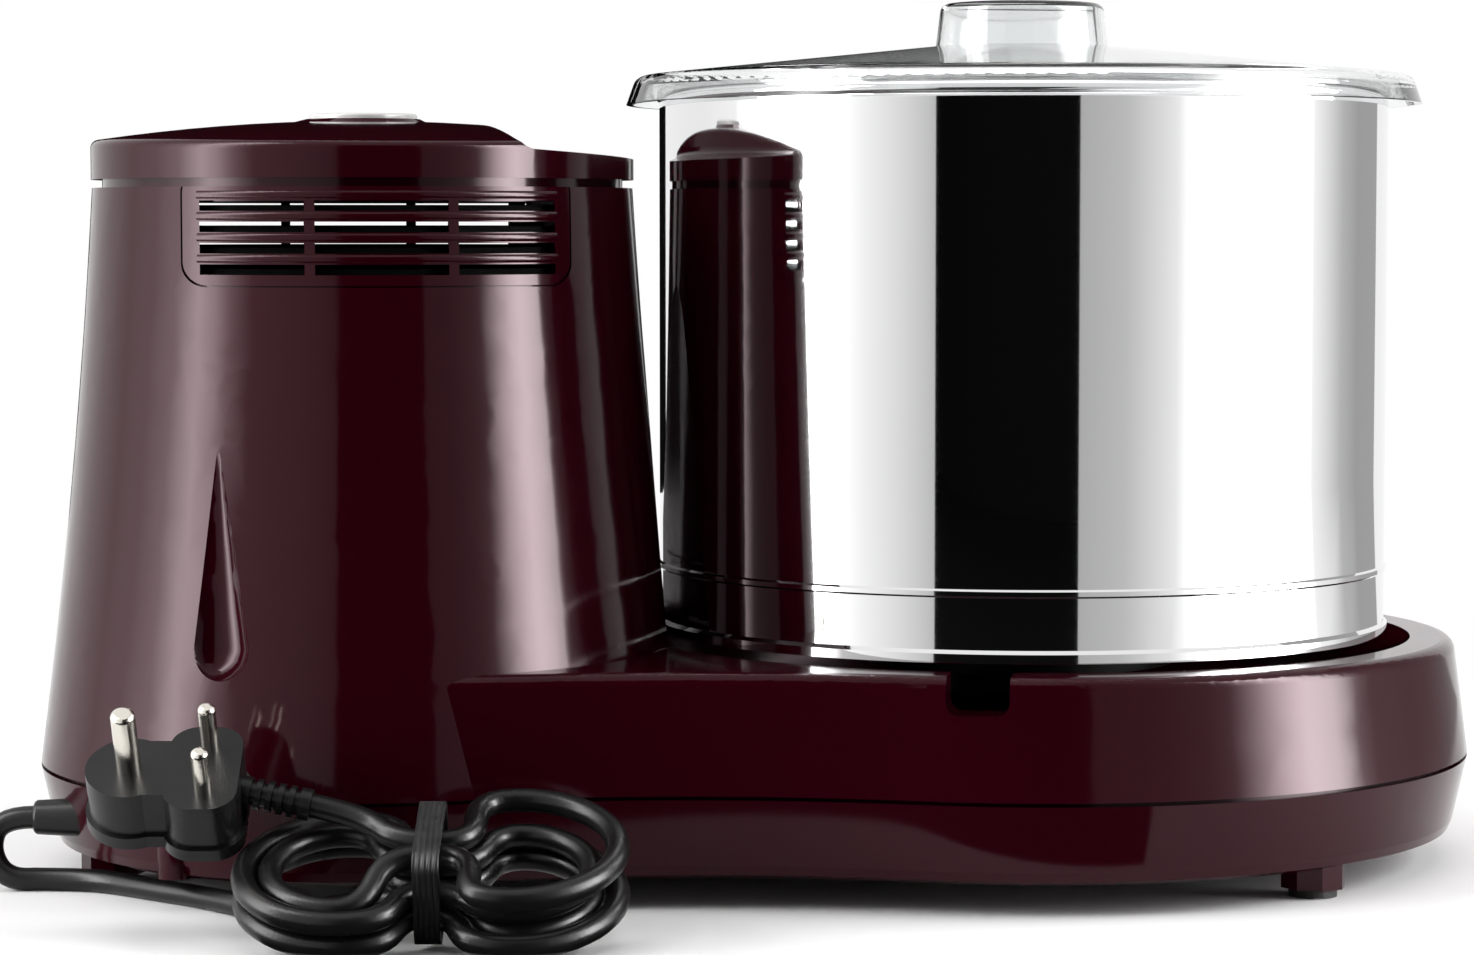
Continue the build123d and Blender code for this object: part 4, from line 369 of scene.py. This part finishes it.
# %% Skin: gloss that drifts, and a faint unevenness of level
skin_group, skin_in, skin_out = new_group(
    "moulded_skin",
    [
        ("Wave Scale", "NodeSocketFloat", 20.0),
        ("Grain Scale", "NodeSocketFloat", 900.0),
        ("Grain Depth", "NodeSocketFloat", 0.1),
        ("Least Roughness", "NodeSocketFloat", 0.2),
        ("Most Roughness", "NodeSocketFloat", 0.4),
    ],
    [("Roughness", "NodeSocketFloat"), ("Normal", "NodeSocketVector")],
)
skin_place = skin_group.nodes.new("ShaderNodeTexCoord").outputs["Object"]
skin_wave = link_noise(skin_group, skin_place, skin_in.outputs["Wave Scale"], 2.0)
skin_range = skin_group.nodes.new("ShaderNodeMapRange")
# The noise seldom leaves this span, so the span is stretched over the whole range of roughness.
skin_range.inputs["From Min"].default_value = 0.3
skin_range.inputs["From Max"].default_value = 0.7
skin_group.links.new(skin_wave.outputs["Fac"], skin_range.inputs["Value"])
skin_group.links.new(skin_in.outputs["Least Roughness"], skin_range.inputs["To Min"])
skin_group.links.new(skin_in.outputs["Most Roughness"], skin_range.inputs["To Max"])
skin_group.links.new(skin_range.outputs["Result"], skin_out.inputs["Roughness"])
skin_grain = link_noise(skin_group, skin_place, skin_in.outputs["Grain Scale"], 3.0)
skin_bump = skin_group.nodes.new("ShaderNodeBump")
skin_bump.inputs["Distance"].default_value = 0.0005
skin_group.links.new(skin_grain.outputs["Fac"], skin_bump.inputs["Height"])
skin_group.links.new(skin_in.outputs["Grain Depth"], skin_bump.inputs["Strength"])
skin_group.links.new(skin_bump.outputs["Normal"], skin_out.inputs["Normal"])
print("group made:", skin_group.name)

# %% Tone: a colour that drifts between two
tone_group, tone_in, tone_out = new_group(
    "drifting_tone",
    [
        ("First Color", "NodeSocketColor", (0.5, 0.5, 0.5, 1)),
        ("Second Color", "NodeSocketColor", (0.4, 0.4, 0.4, 1)),
        ("Patch Scale", "NodeSocketFloat", 30.0),
    ],
    [("Color", "NodeSocketColor")],
)
tone_place = tone_group.nodes.new("ShaderNodeTexCoord").outputs["Object"]
tone_noise = link_noise(tone_group, tone_place, tone_in.outputs["Patch Scale"], 4.0)
tone_mix = tone_group.nodes.new("ShaderNodeMix")
tone_mix.data_type = "RGBA"
tone_group.links.new(tone_noise.outputs["Fac"], tone_mix.inputs["Factor"])
tone_group.links.new(tone_in.outputs["First Color"], tone_mix.inputs["A"])
tone_group.links.new(tone_in.outputs["Second Color"], tone_mix.inputs["B"])
tone_group.links.new(tone_mix.outputs["Result"], tone_out.inputs["Color"])
print("group made:", tone_group.name)

# %% Turning marks: fine rings round an upright axis
turned_group, turned_in, turned_out = new_group(
    "turning_marks",
    [
        ("Centre", "NodeSocketVector", (0, 0, 0)),
        ("Ring Scale", "NodeSocketFloat", 1500.0),
        ("Ring Depth", "NodeSocketFloat", 0.1),
        ("Least Roughness", "NodeSocketFloat", 0.1),
        ("Most Roughness", "NodeSocketFloat", 0.3),
    ],
    [("Roughness", "NodeSocketFloat"), ("Normal", "NodeSocketVector")],
)
turned_place = turned_group.nodes.new("ShaderNodeTexCoord").outputs["Object"]
turned_shift = turned_group.nodes.new("ShaderNodeVectorMath")
turned_shift.operation = "SUBTRACT"
turned_group.links.new(turned_place, turned_shift.inputs[0])
turned_group.links.new(turned_in.outputs["Centre"], turned_shift.inputs[1])
turned_split = turned_group.nodes.new("ShaderNodeSeparateXYZ")
turned_group.links.new(turned_shift.outputs["Vector"], turned_split.inputs["Vector"])
turned_flat = turned_group.nodes.new("ShaderNodeCombineXYZ")
turned_group.links.new(turned_split.outputs["X"], turned_flat.inputs["X"])
turned_group.links.new(turned_split.outputs["Y"], turned_flat.inputs["Y"])
turned_radius = turned_group.nodes.new("ShaderNodeVectorMath")
turned_radius.operation = "LENGTH"
turned_group.links.new(turned_flat.outputs["Vector"], turned_radius.inputs[0])
turned_rings = turned_group.nodes.new("ShaderNodeCombineXYZ")
turned_group.links.new(turned_radius.outputs["Value"], turned_rings.inputs["X"])
turned_group.links.new(turned_split.outputs["Z"], turned_rings.inputs["Z"])
turned_scale = turned_in.outputs["Ring Scale"]
turned_noise = link_noise(turned_group, turned_rings.outputs["Vector"], turned_scale, 2.0)
turned_range = turned_group.nodes.new("ShaderNodeMapRange")
turned_group.links.new(turned_noise.outputs["Fac"], turned_range.inputs["Value"])
turned_group.links.new(turned_in.outputs["Least Roughness"], turned_range.inputs["To Min"])
turned_group.links.new(turned_in.outputs["Most Roughness"], turned_range.inputs["To Max"])
turned_group.links.new(turned_range.outputs["Result"], turned_out.inputs["Roughness"])
turned_bump = turned_group.nodes.new("ShaderNodeBump")
turned_bump.inputs["Distance"].default_value = 0.0002
turned_group.links.new(turned_noise.outputs["Fac"], turned_bump.inputs["Height"])
turned_group.links.new(turned_in.outputs["Ring Depth"], turned_bump.inputs["Strength"])
turned_group.links.new(turned_bump.outputs["Normal"], turned_out.inputs["Normal"])
print("group made:", turned_group.name)


# %% Start a material and put a group into it
def new_material(name):
    """A material with its node tree and its shader."""
    material = bpy.data.materials.new(name)
    material.use_nodes = True
    tree = material.node_tree
    return material, tree, tree.nodes["Principled BSDF"]


def place_group(tree, group, **values):
    """A group in a material, with its own values; an underscore in a name stands for a space."""
    node = tree.nodes.new("ShaderNodeGroup")
    node.node_tree = group
    for label, value in values.items():
        node.inputs[label.replace("_", " ")].default_value = value
    return node


def join(tree, node, shader, *labels):
    """Leads a group's outputs to the shader's inputs, each output with the input it feeds."""
    for output, target in labels:
        tree.links.new(node.outputs[output], shader.inputs[target])


slot_of = {entry["node"]: entry["material_slot"] for entry in frame["record"]["subparts"]}


def dress(slot, material, *extra):
    """Gives a material to all the nodes of one of the record's slots, and to extra pieces."""
    wearers = [nodes[name] for name, its_slot in slot_of.items() if its_slot == slot]
    for piece in wearers + list(extra):
        piece.data.materials.clear()
        piece.data.materials.append(material)
    print(material.name, "on", len(wearers) + len(extra), "pieces")


print("material helpers ready")

# %% The three finishes, ready to put on a shader
drum_centre = (-0.0855, 0.0, 0.0)


def drift_colour(tree, shader, first, second, patches):
    """Gives a shader a base colour that drifts between two tones in patches of this scale."""
    tone = place_group(
        tree, tone_group, First_Color=(*first, 1), Second_Color=(*second, 1), Patch_Scale=patches
    )
    join(tree, tone, shader, ("Color", "Base Color"))


def moulded_finish(tree, shader, waves, grain, depth, least, most):
    """Gives a shader a skin: the scales of its waves and grain, the grain's depth and its roughness."""
    skin = place_group(
        tree,
        skin_group,
        Wave_Scale=waves,
        Grain_Scale=grain,
        Grain_Depth=depth,
        Least_Roughness=least,
        Most_Roughness=most,
    )
    join(tree, skin, shader, ("Roughness", "Roughness"), ("Normal", "Normal"))


def turned_finish(tree, shader, rings, depth, least, most):
    """Gives a shader rings round the drum's axis: their scale and depth, and its roughness."""
    marks = place_group(
        tree,
        turned_group,
        Centre=drum_centre,
        Ring_Scale=rings,
        Ring_Depth=depth,
        Least_Roughness=least,
        Most_Roughness=most,
    )
    join(tree, marks, shader, ("Roughness", "Roughness"), ("Normal", "Normal"))


print("the drum turns about", drum_centre[:2])

# %% [markdown]
# ## Cherry housing plastic
#
# The housing is injection moulded in a very dark cherry with a piano finish. Such a finish is
# almost black where it mirrors a dark room, and the colour shows where soft light falls on it. A
# low index keeps its mirror weak, so the soft boxes read as pale bands and not as white ones. The
# skin drifts only a little, since the tool is polished.

# %% Cherry plastic
cherry, tree, shader = new_material("cherry_plastic")
drift_colour(tree, shader, (0.021, 0.0004, 0.0030), (0.025, 0.0006, 0.0038), 9.0)
moulded_finish(tree, shader, waves=14.0, grain=160.0, depth=0.012, least=0.08, most=0.13)
shader.inputs["IOR"].default_value = 1.31
shader.inputs["Specular Tint"].default_value = (1.0, 0.80, 0.85, 1)
dress("cherry_plastic", cherry)

# %% [markdown]
# ## Pale disc in the cap
#
# The disc in the middle of the cap is a bare glossy moulding. It's lighter than everything round it.

# %% Pale disc
disc, tree, shader = new_material("pale_disc")
drift_colour(tree, shader, (0.62, 0.62, 0.62), (0.7, 0.7, 0.69), 60.0)
moulded_finish(tree, shader, waves=40.0, grain=700.0, depth=0.03, least=0.2, most=0.28)
dress("pale_disc", disc)

# %% [markdown]
# ## Steels
#
# The drum is polished on a lathe, so its mirror has the faintest rings round it. The shafts and
# screws are plain turned steel, and the chassis is plated sheet.

# %% Mirror steel of the drum
mirror, tree, shader = new_material("mirror_steel")
drift_colour(tree, shader, (0.78, 0.78, 0.79), (0.83, 0.83, 0.835), 8.0)
turned_finish(tree, shader, rings=700.0, depth=0.006, least=0.02, most=0.06)
shader.inputs["Metallic"].default_value = 1.0
dress("mirror_steel", mirror)

# %% Machined steel
steel, tree, shader = new_material("machined_steel")
drift_colour(tree, shader, (0.5, 0.5, 0.5), (0.6, 0.59, 0.58), 120.0)
turned_finish(tree, shader, rings=2500.0, depth=0.2, least=0.22, most=0.38)
shader.inputs["Metallic"].default_value = 1.0
dress("steel", steel)

# %% Plated sheet
sheet, tree, shader = new_material("plated_sheet")
drift_colour(tree, shader, (0.5, 0.51, 0.52), (0.62, 0.62, 0.6), 90.0)
moulded_finish(tree, shader, waves=110.0, grain=800.0, depth=0.15, least=0.3, most=0.5)
shader.inputs["Metallic"].default_value = 1.0
dress("zinc_sheet", sheet)

# %% Nickel of the plug's pins
nickel, tree, shader = new_material("nickel_plating")
drift_colour(tree, shader, (0.72, 0.68, 0.6), (0.8, 0.77, 0.7), 200.0)
moulded_finish(tree, shader, waves=150.0, grain=1200.0, depth=0.05, least=0.14, most=0.24)
shader.inputs["Metallic"].default_value = 1.0
dress("nickel", nickel)

# %% [markdown]
# ## Cast, wound and sintered metals
#
# Inside the tower the motor's brackets are die cast, its core is stacked sheet and its windings are
# varnished copper. The bushes of the column and of the two stones are sintered bronze. Each differs
# in colour and in how rough it is.


# %% One recipe for the metals inside
def inner_metal(slot, first, second, least, most, depth):
    """A metal with its own pair of tones, its roughness and the depth of its grain."""
    material, tree, shader = new_material(slot)
    drift_colour(tree, shader, first, second, 140.0)
    moulded_finish(tree, shader, waves=90.0, grain=900.0, depth=depth, least=least, most=most)
    shader.inputs["Metallic"].default_value = 1.0
    dress(slot, material)


inner_metal("cast_alloy", (0.48, 0.48, 0.48), (0.6, 0.6, 0.59), least=0.45, most=0.65, depth=0.5)
inner_metal("lamination", (0.16, 0.16, 0.17), (0.24, 0.23, 0.22), least=0.4, most=0.6, depth=0.3)
inner_metal("copper", (0.55, 0.22, 0.09), (0.66, 0.3, 0.13), least=0.25, most=0.4, depth=0.4)
inner_metal("bronze", (0.5, 0.33, 0.14), (0.6, 0.42, 0.2), least=0.35, most=0.5, depth=0.3)

# %% [markdown]
# ## Cord sheath, mouldings and rubber
#
# The sheath and the plug are soft black PVC with a low sheen. The feet and the tie are duller
# rubber, and the tie is one band wound several times. The inner mouldings are plain nylon, black or
# white. The lips are painted shade: darker than any black plastic here and nearly without a mirror,
# they stand for the shade inside the tower.


# %% One recipe for the plain plastics
def plain_plastic(slot, first, second, least, most, depth, index, extra=()):
    """A plastic or rubber: its pair of tones, its roughness, the depth of its grain and its index."""
    material, tree, shader = new_material(slot)
    drift_colour(tree, shader, first, second, 70.0)
    moulded_finish(tree, shader, waves=60.0, grain=1100.0, depth=depth, least=least, most=most)
    shader.inputs["IOR"].default_value = index
    dress(slot, material, *extra)


plain_plastic(
    "black_sheath",
    first=(0.0035, 0.0035, 0.0038),
    second=(0.006, 0.006, 0.0062),
    least=0.24,
    most=0.36,
    depth=0.12,
    index=1.38,
    extra=[supply_cord],
)
plain_plastic(
    "black_plastic",
    first=(0.008, 0.008, 0.0085),
    second=(0.012, 0.012, 0.012),
    least=0.35,
    most=0.5,
    depth=0.2,
    index=1.42,
)
plain_plastic(
    "black_rubber",
    first=(0.006, 0.006, 0.006),
    second=(0.011, 0.0105, 0.010),
    least=0.5,
    most=0.7,
    depth=0.4,
    index=1.38,
)
plain_plastic(
    "white_plastic",
    first=(0.62, 0.61, 0.57),
    second=(0.7, 0.69, 0.66),
    least=0.35,
    most=0.5,
    depth=0.15,
    index=1.48,
)

# %% Painted shade: the near-black, dull inside of the grilles' lips
painted_lip_shade, tree, shader = new_material("painted_shade_inside")
# Painted shade: darker than the black plastics, with almost no reflection (index 1.1), for the dark
# inside of the tower.
drift_colour(tree, shader, (0.003, 0.003, 0.003), (0.006, 0.006, 0.006), 80.0)
moulded_finish(tree, shader, waves=60.0, grain=1100.0, depth=0.3, least=0.8, most=0.95)
shader.inputs["IOR"].default_value = 1.1
for lips in (rear_lips, front_lips):
    lips.data.materials.append(painted_lip_shade)
print("matt inside on the lips")

# %% Rubber of the tie: one band wound several times
strand_width = 0.0016
strand_wander = 0.0012
ridge_height = 0.0006
tie, tree, shader = new_material("wound_band")
drift_colour(tree, shader, (0.006, 0.006, 0.006), (0.012, 0.012, 0.012), 160.0)
skin = place_group(tree, skin_group, Wave_Scale=200.0, Least_Roughness=0.4, Most_Roughness=0.55)
join(tree, skin, shader, ("Roughness", "Roughness"))
place = tree.nodes.new("ShaderNodeTexCoord").outputs["Object"]
along_waist = tree.nodes.new("ShaderNodeVectorMath")
along_waist.operation = "DOT_PRODUCT"
along_waist.inputs[1].default_value = hank_along
tree.links.new(place, along_waist.inputs[0])
wander = link_noise(tree, place, 90.0, 1.0)
wander_reach = tree.nodes.new("ShaderNodeMath")
wander_reach.operation = "MULTIPLY_ADD"
wander_reach.inputs[1].default_value = strand_wander
tree.links.new(wander.outputs["Fac"], wander_reach.inputs[0])
tree.links.new(along_waist.outputs["Value"], wander_reach.inputs[2])
strands = tree.nodes.new("ShaderNodeMath")
strands.operation = "PINGPONG"
strands.inputs[1].default_value = strand_width / 2
tree.links.new(wander_reach.outputs["Value"], strands.inputs[0])
rounding = tree.nodes.new("ShaderNodeMapRange")
rounding.interpolation_type = "SMOOTHSTEP"
rounding.inputs["From Max"].default_value = strand_width / 3
tree.links.new(strands.outputs["Value"], rounding.inputs["Value"])
ridges = tree.nodes.new("ShaderNodeBump")
ridges.inputs["Distance"].default_value = ridge_height
ridges.inputs["Strength"].default_value = 1.0
tree.links.new(rounding.outputs["Result"], ridges.inputs["Height"])
tree.links.new(ridges.outputs["Normal"], shader.inputs["Normal"])
shader.inputs["IOR"].default_value = 1.42
nodes["cord_tie"].data.materials.clear()
nodes["cord_tie"].data.materials.append(tie)
print("the tie's strands are", strand_width, "m wide")

# %% [markdown]
# ## Granite
#
# The stones are turned from dark granite. Granite is a packed mass of pale, grey and black
# crystals a millimetre or two across. Cells of a Voronoi texture stand for the crystals.


# %% Granite and the cement under it
def speckled_stone(slot, dark, pale, cell_scale, depth):
    """A stone of crystals between two tones, honed but not polished."""
    material, tree, shader = new_material(slot)
    place = tree.nodes.new("ShaderNodeTexCoord").outputs["Object"]
    cells = tree.nodes.new("ShaderNodeTexVoronoi")
    cells.inputs["Scale"].default_value = cell_scale
    tree.links.new(place, cells.inputs["Vector"])
    ramp = tree.nodes.new("ShaderNodeValToRGB")
    ramp.color_ramp.elements[0].color = (*dark, 1)
    ramp.color_ramp.elements[1].color = (*pale, 1)
    ramp.color_ramp.elements[0].position = 0.25
    ramp.color_ramp.elements[1].position = 0.85
    tree.links.new(cells.outputs["Color"], ramp.inputs["Fac"])
    tree.links.new(ramp.outputs["Color"], shader.inputs["Base Color"])
    moulded_finish(tree, shader, waves=300.0, grain=700.0, depth=depth, least=0.5, most=0.75)
    dress(slot, material)


speckled_stone("granite", (0.05, 0.05, 0.055), (0.34, 0.33, 0.31), cell_scale=520.0, depth=0.5)
speckled_stone("bedding", (0.33, 0.32, 0.29), (0.45, 0.44, 0.4), cell_scale=900.0, depth=0.8)

# %% [markdown]
# ## Clear lid
#
# The lid and its knob are clear polycarbonate. Light goes straight through, so a low roughness
# and full transmission do most of it.

# %% Clear plastic
clear, tree, shader = new_material("clear_plastic")
drift_colour(tree, shader, (0.90, 0.91, 0.91), (0.94, 0.95, 0.95), 6.0)
turned_finish(tree, shader, rings=160.0, depth=0.02, least=0.01, most=0.05)
shader.inputs["Transmission Weight"].default_value = 1.0
shader.inputs["IOR"].default_value = 1.46
dress("clear_plastic", clear)

# %% [markdown]
# ## The studio
#
# Glossy things show the room, so the room is the picture. The machine stands on a white floor that
# fades into a white backdrop. Two tall soft boxes stand left and right of the camera, each brighter
# in its middle than at its edges, and a dark card between them makes the black band down the drum.
# A second card lies on the floor before the machine, and a third stands on its far side. The boxes
# are strips of mesh that glow. Boxes and cards are seen only in reflections, so their shape and
# falloff can be drawn freely, while plain area lights do the lighting.

# %% Floor that fades into the backdrop
floor_reach = 4.0
fade_start = 0.30
fade_end = 0.62
floor_mesh = bpy.data.meshes.new("studio_floor")
floor_corners = [(-1, -1), (1, -1), (1, 1), (-1, 1)]
floor_places = [(x * floor_reach, y * floor_reach, 0) for x, y in floor_corners]
floor_mesh.from_pydata(floor_places, [], [(0, 1, 2, 3)])
floor = bpy.data.objects.new("studio_floor", floor_mesh)
bpy.context.scene.collection.objects.link(floor)
white, tree, shader = new_material("studio_white")
shader.inputs["Base Color"].default_value = (0.92, 0.92, 0.92, 1)
shader.inputs["Roughness"].default_value = 0.7
shader.inputs["Specular IOR Level"].default_value = 0.1
place = tree.nodes.new("ShaderNodeTexCoord").outputs["Object"]
away = tree.nodes.new("ShaderNodeVectorMath")
away.operation = "LENGTH"
tree.links.new(place, away.inputs[0])
fade = tree.nodes.new("ShaderNodeMapRange")
fade.interpolation_type = "SMOOTHSTEP"
fade.inputs["From Min"].default_value = fade_start
fade.inputs["From Max"].default_value = fade_end
tree.links.new(away.outputs["Value"], fade.inputs["Value"])
nothing = tree.nodes.new("ShaderNodeBsdfTransparent")
blend = tree.nodes.new("ShaderNodeMixShader")
tree.links.new(fade.outputs["Result"], blend.inputs["Fac"])
tree.links.new(shader.outputs["BSDF"], blend.inputs[1])
tree.links.new(nothing.outputs["BSDF"], blend.inputs[2])
tree.links.new(blend.outputs["Shader"], tree.nodes["Material Output"].inputs["Surface"])
floor_mesh.materials.append(white)
print("floor", 2 * floor_reach, "m across")


# %% A card or a strip that only reflections see
def reflected_only(name, corners, faces, material):
    """A mesh of the studio that shows in reflections and nowhere else."""
    mesh = bpy.data.meshes.new(name)
    mesh.from_pydata(corners, [], faces)
    mesh.materials.append(material)
    piece = bpy.data.objects.new(name, mesh)
    bpy.context.scene.collection.objects.link(piece)
    piece.visible_camera = False
    piece.visible_diffuse = False
    piece.visible_shadow = False
    piece.visible_transmission = False
    return piece


black, tree, shader = new_material("studio_black")
shader.inputs["Base Color"].default_value = (0.004, 0.004, 0.004, 1)
shader.inputs["Roughness"].default_value = 1.0
shader.inputs["Specular IOR Level"].default_value = 0.0
print("studio black ready")


# %% Dark cards: behind the camera, on the floor up to the machine, and on the user's side
card_height = 2.0
card_lift = 0.002
behind_low_x = -0.75
behind_high_x = 1.4
behind_y = 1.6
ahead_low_x = -0.10
ahead_high_x = 0.60
ahead_y = 0.16
user_half_width = 0.45
user_y = -1.7


def upright_card(name, low_x, high_x, y):
    """A dark card that stands on the floor, square to Y."""
    corners = [(low_x, y, 0), (high_x, y, 0), (high_x, y, card_height), (low_x, y, card_height)]
    reflected_only(name, corners, [(0, 1, 2, 3)], black)


upright_card("dark_behind_camera", behind_low_x, behind_high_x, behind_y)
ahead = [
    (ahead_low_x, ahead_y, card_lift),
    (ahead_high_x, ahead_y, card_lift),
    (behind_high_x, behind_y, card_lift),
    (behind_low_x, behind_y, card_lift),
]
reflected_only("dark_floor_ahead", ahead, [(0, 1, 2, 3)], black)
upright_card("dark_on_user_side", -user_half_width, user_half_width, user_y)
print("dark cards placed")

# %% Glow whose strength is read from the strip
glow, tree, shader = new_material("studio_glow")
level = tree.nodes.new("ShaderNodeAttribute")
level.attribute_name = "glow"
lamp = tree.nodes.new("ShaderNodeEmission")
tree.links.new(level.outputs["Fac"], lamp.inputs["Strength"])
tree.links.new(lamp.outputs["Emission"], tree.nodes["Material Output"].inputs["Surface"])
print("glow ready")


# %% Strips of soft box, each place in plan with how bright it is
skirt_lift = 0.004
# Each place has three corners: the skirt's edge, the strip's foot and its top.
rows_of_corners = 3


def soft_strip(name, stations, height, skirt_share):
    """A tall strip with a skirt on the floor, through places in plan, glowing as each place says."""
    corners = []
    for x, y, _ in stations:
        corners += [(x * skirt_share, y * skirt_share, skirt_lift), (x, y, skirt_lift), (x, y, height)]
    faces = []
    for index in range(len(stations) - 1):
        here = rows_of_corners * index
        there = here + rows_of_corners
        faces.append((here, there, there + 1, here + 1))
        faces.append((here + 1, there + 1, there + 2, here + 2))
    piece = reflected_only(name, corners, faces, glow)
    strength = piece.data.attributes.new("glow", "FLOAT", "POINT")
    for index, (_, _, brightness) in enumerate(stations):
        for row in range(rows_of_corners):
            strength.data[rows_of_corners * index + row].value = brightness
    print(name, "with", len(stations), "stations")


soft_strip(
    "soft_box_tower_side",
    [
        (0.253, 0.466, 0.6),
        (0.302, 0.328, 0.95),
        (0.361, 0.294, 1.1),
        (0.421, 0.261, 1.3),
        (0.481, 0.228, 4.5),
        (0.540, 0.194, 11.0),
        (0.620, 0.150, 15.0),
        (0.620, 0.050, 5.0),
        (0.620, -0.060, 2.2),
        (0.620, -0.200, 1.1),
        (0.620, -0.450, 1.0),
    ],
    height=1.2,
    skirt_share=0.8,
)
soft_strip(
    "soft_box_drum_side",
    [
        (-0.132, 0.724, 0.5),
        (-0.327, 0.788, 0.6),
        (-0.469, 0.834, 0.78),
        (-0.681, 0.902, 1.0),
        (-0.893, 0.971, 1.6),
        (-1.247, 1.086, 9.0),
        (-1.600, 1.200, 16.0),
        (-1.700, 1.000, 26.0),
        (-1.780, 0.850, 30.0),
        (-1.900, 0.600, 22.0),
        (-1.900, 0.300, 3.0),
        (-1.900, 0.100, 1.1),
        (-1.900, -0.400, 0.55),
        (-1.750, -0.700, 0.4),
        (-1.500, -1.200, 0.4),
    ],
    height=1.8,
    skirt_share=0.35,
)


# %% Lights
machine_middle = Vector((0, 0, 0.1))


def area_light(name, place, width, height, power):
    """A soft light turned towards the machine, which reflections don't see."""
    data = bpy.data.lights.new(name, "AREA")
    data.shape = "RECTANGLE"
    data.size = width
    data.size_y = height
    data.energy = power
    light = bpy.data.objects.new(name, data)
    light.location = place
    direction = machine_middle - Vector(place)
    light.rotation_euler = direction.to_track_quat("-Z", "Y").to_euler()
    light.visible_glossy = False
    bpy.context.scene.collection.objects.link(light)


area_light("light_tower_side", (1.3, 0.2, 0.55), width=0.9, height=1.0, power=22.0)
area_light("light_drum_side", (-1.3, 0.3, 0.55), width=0.9, height=1.0, power=22.0)
area_light("light_above", (0.0, 0.0, 1.6), width=1.8, height=1.4, power=14.0)
print("three lights")

# %% The white room, full where it is seen and dimmer where it only lights
lighting_level = 0.2
backdrop_level = 1.0
world = bpy.data.worlds.new("white_room")
bpy.context.scene.world = world
world.use_nodes = True
room = world.node_tree
room.nodes["Background"].inputs["Color"].default_value = (1, 1, 1, 1)
rays = room.nodes.new("ShaderNodeLightPath")
seen_or_mirrored = room.nodes.new("ShaderNodeMath")
seen_or_mirrored.operation = "ADD"
room.links.new(rays.outputs["Is Camera Ray"], seen_or_mirrored.inputs[0])
room.links.new(rays.outputs["Is Glossy Ray"], seen_or_mirrored.inputs[1])
or_through_lid = room.nodes.new("ShaderNodeMath")
or_through_lid.operation = "ADD"
room.links.new(seen_or_mirrored.outputs["Value"], or_through_lid.inputs[0])
room.links.new(rays.outputs["Is Transmission Ray"], or_through_lid.inputs[1])
room_level = room.nodes.new("ShaderNodeMapRange")
room_level.inputs["To Min"].default_value = lighting_level
room_level.inputs["To Max"].default_value = backdrop_level
room.links.new(or_through_lid.outputs["Value"], room_level.inputs["Value"])
room.links.new(room_level.outputs["Result"], room.nodes["Background"].inputs["Strength"])
bpy.context.scene.view_settings.view_transform = "Standard"
print("the room is white")

# %% [markdown]
# ## The end

# %% The end
print("the scene is built")
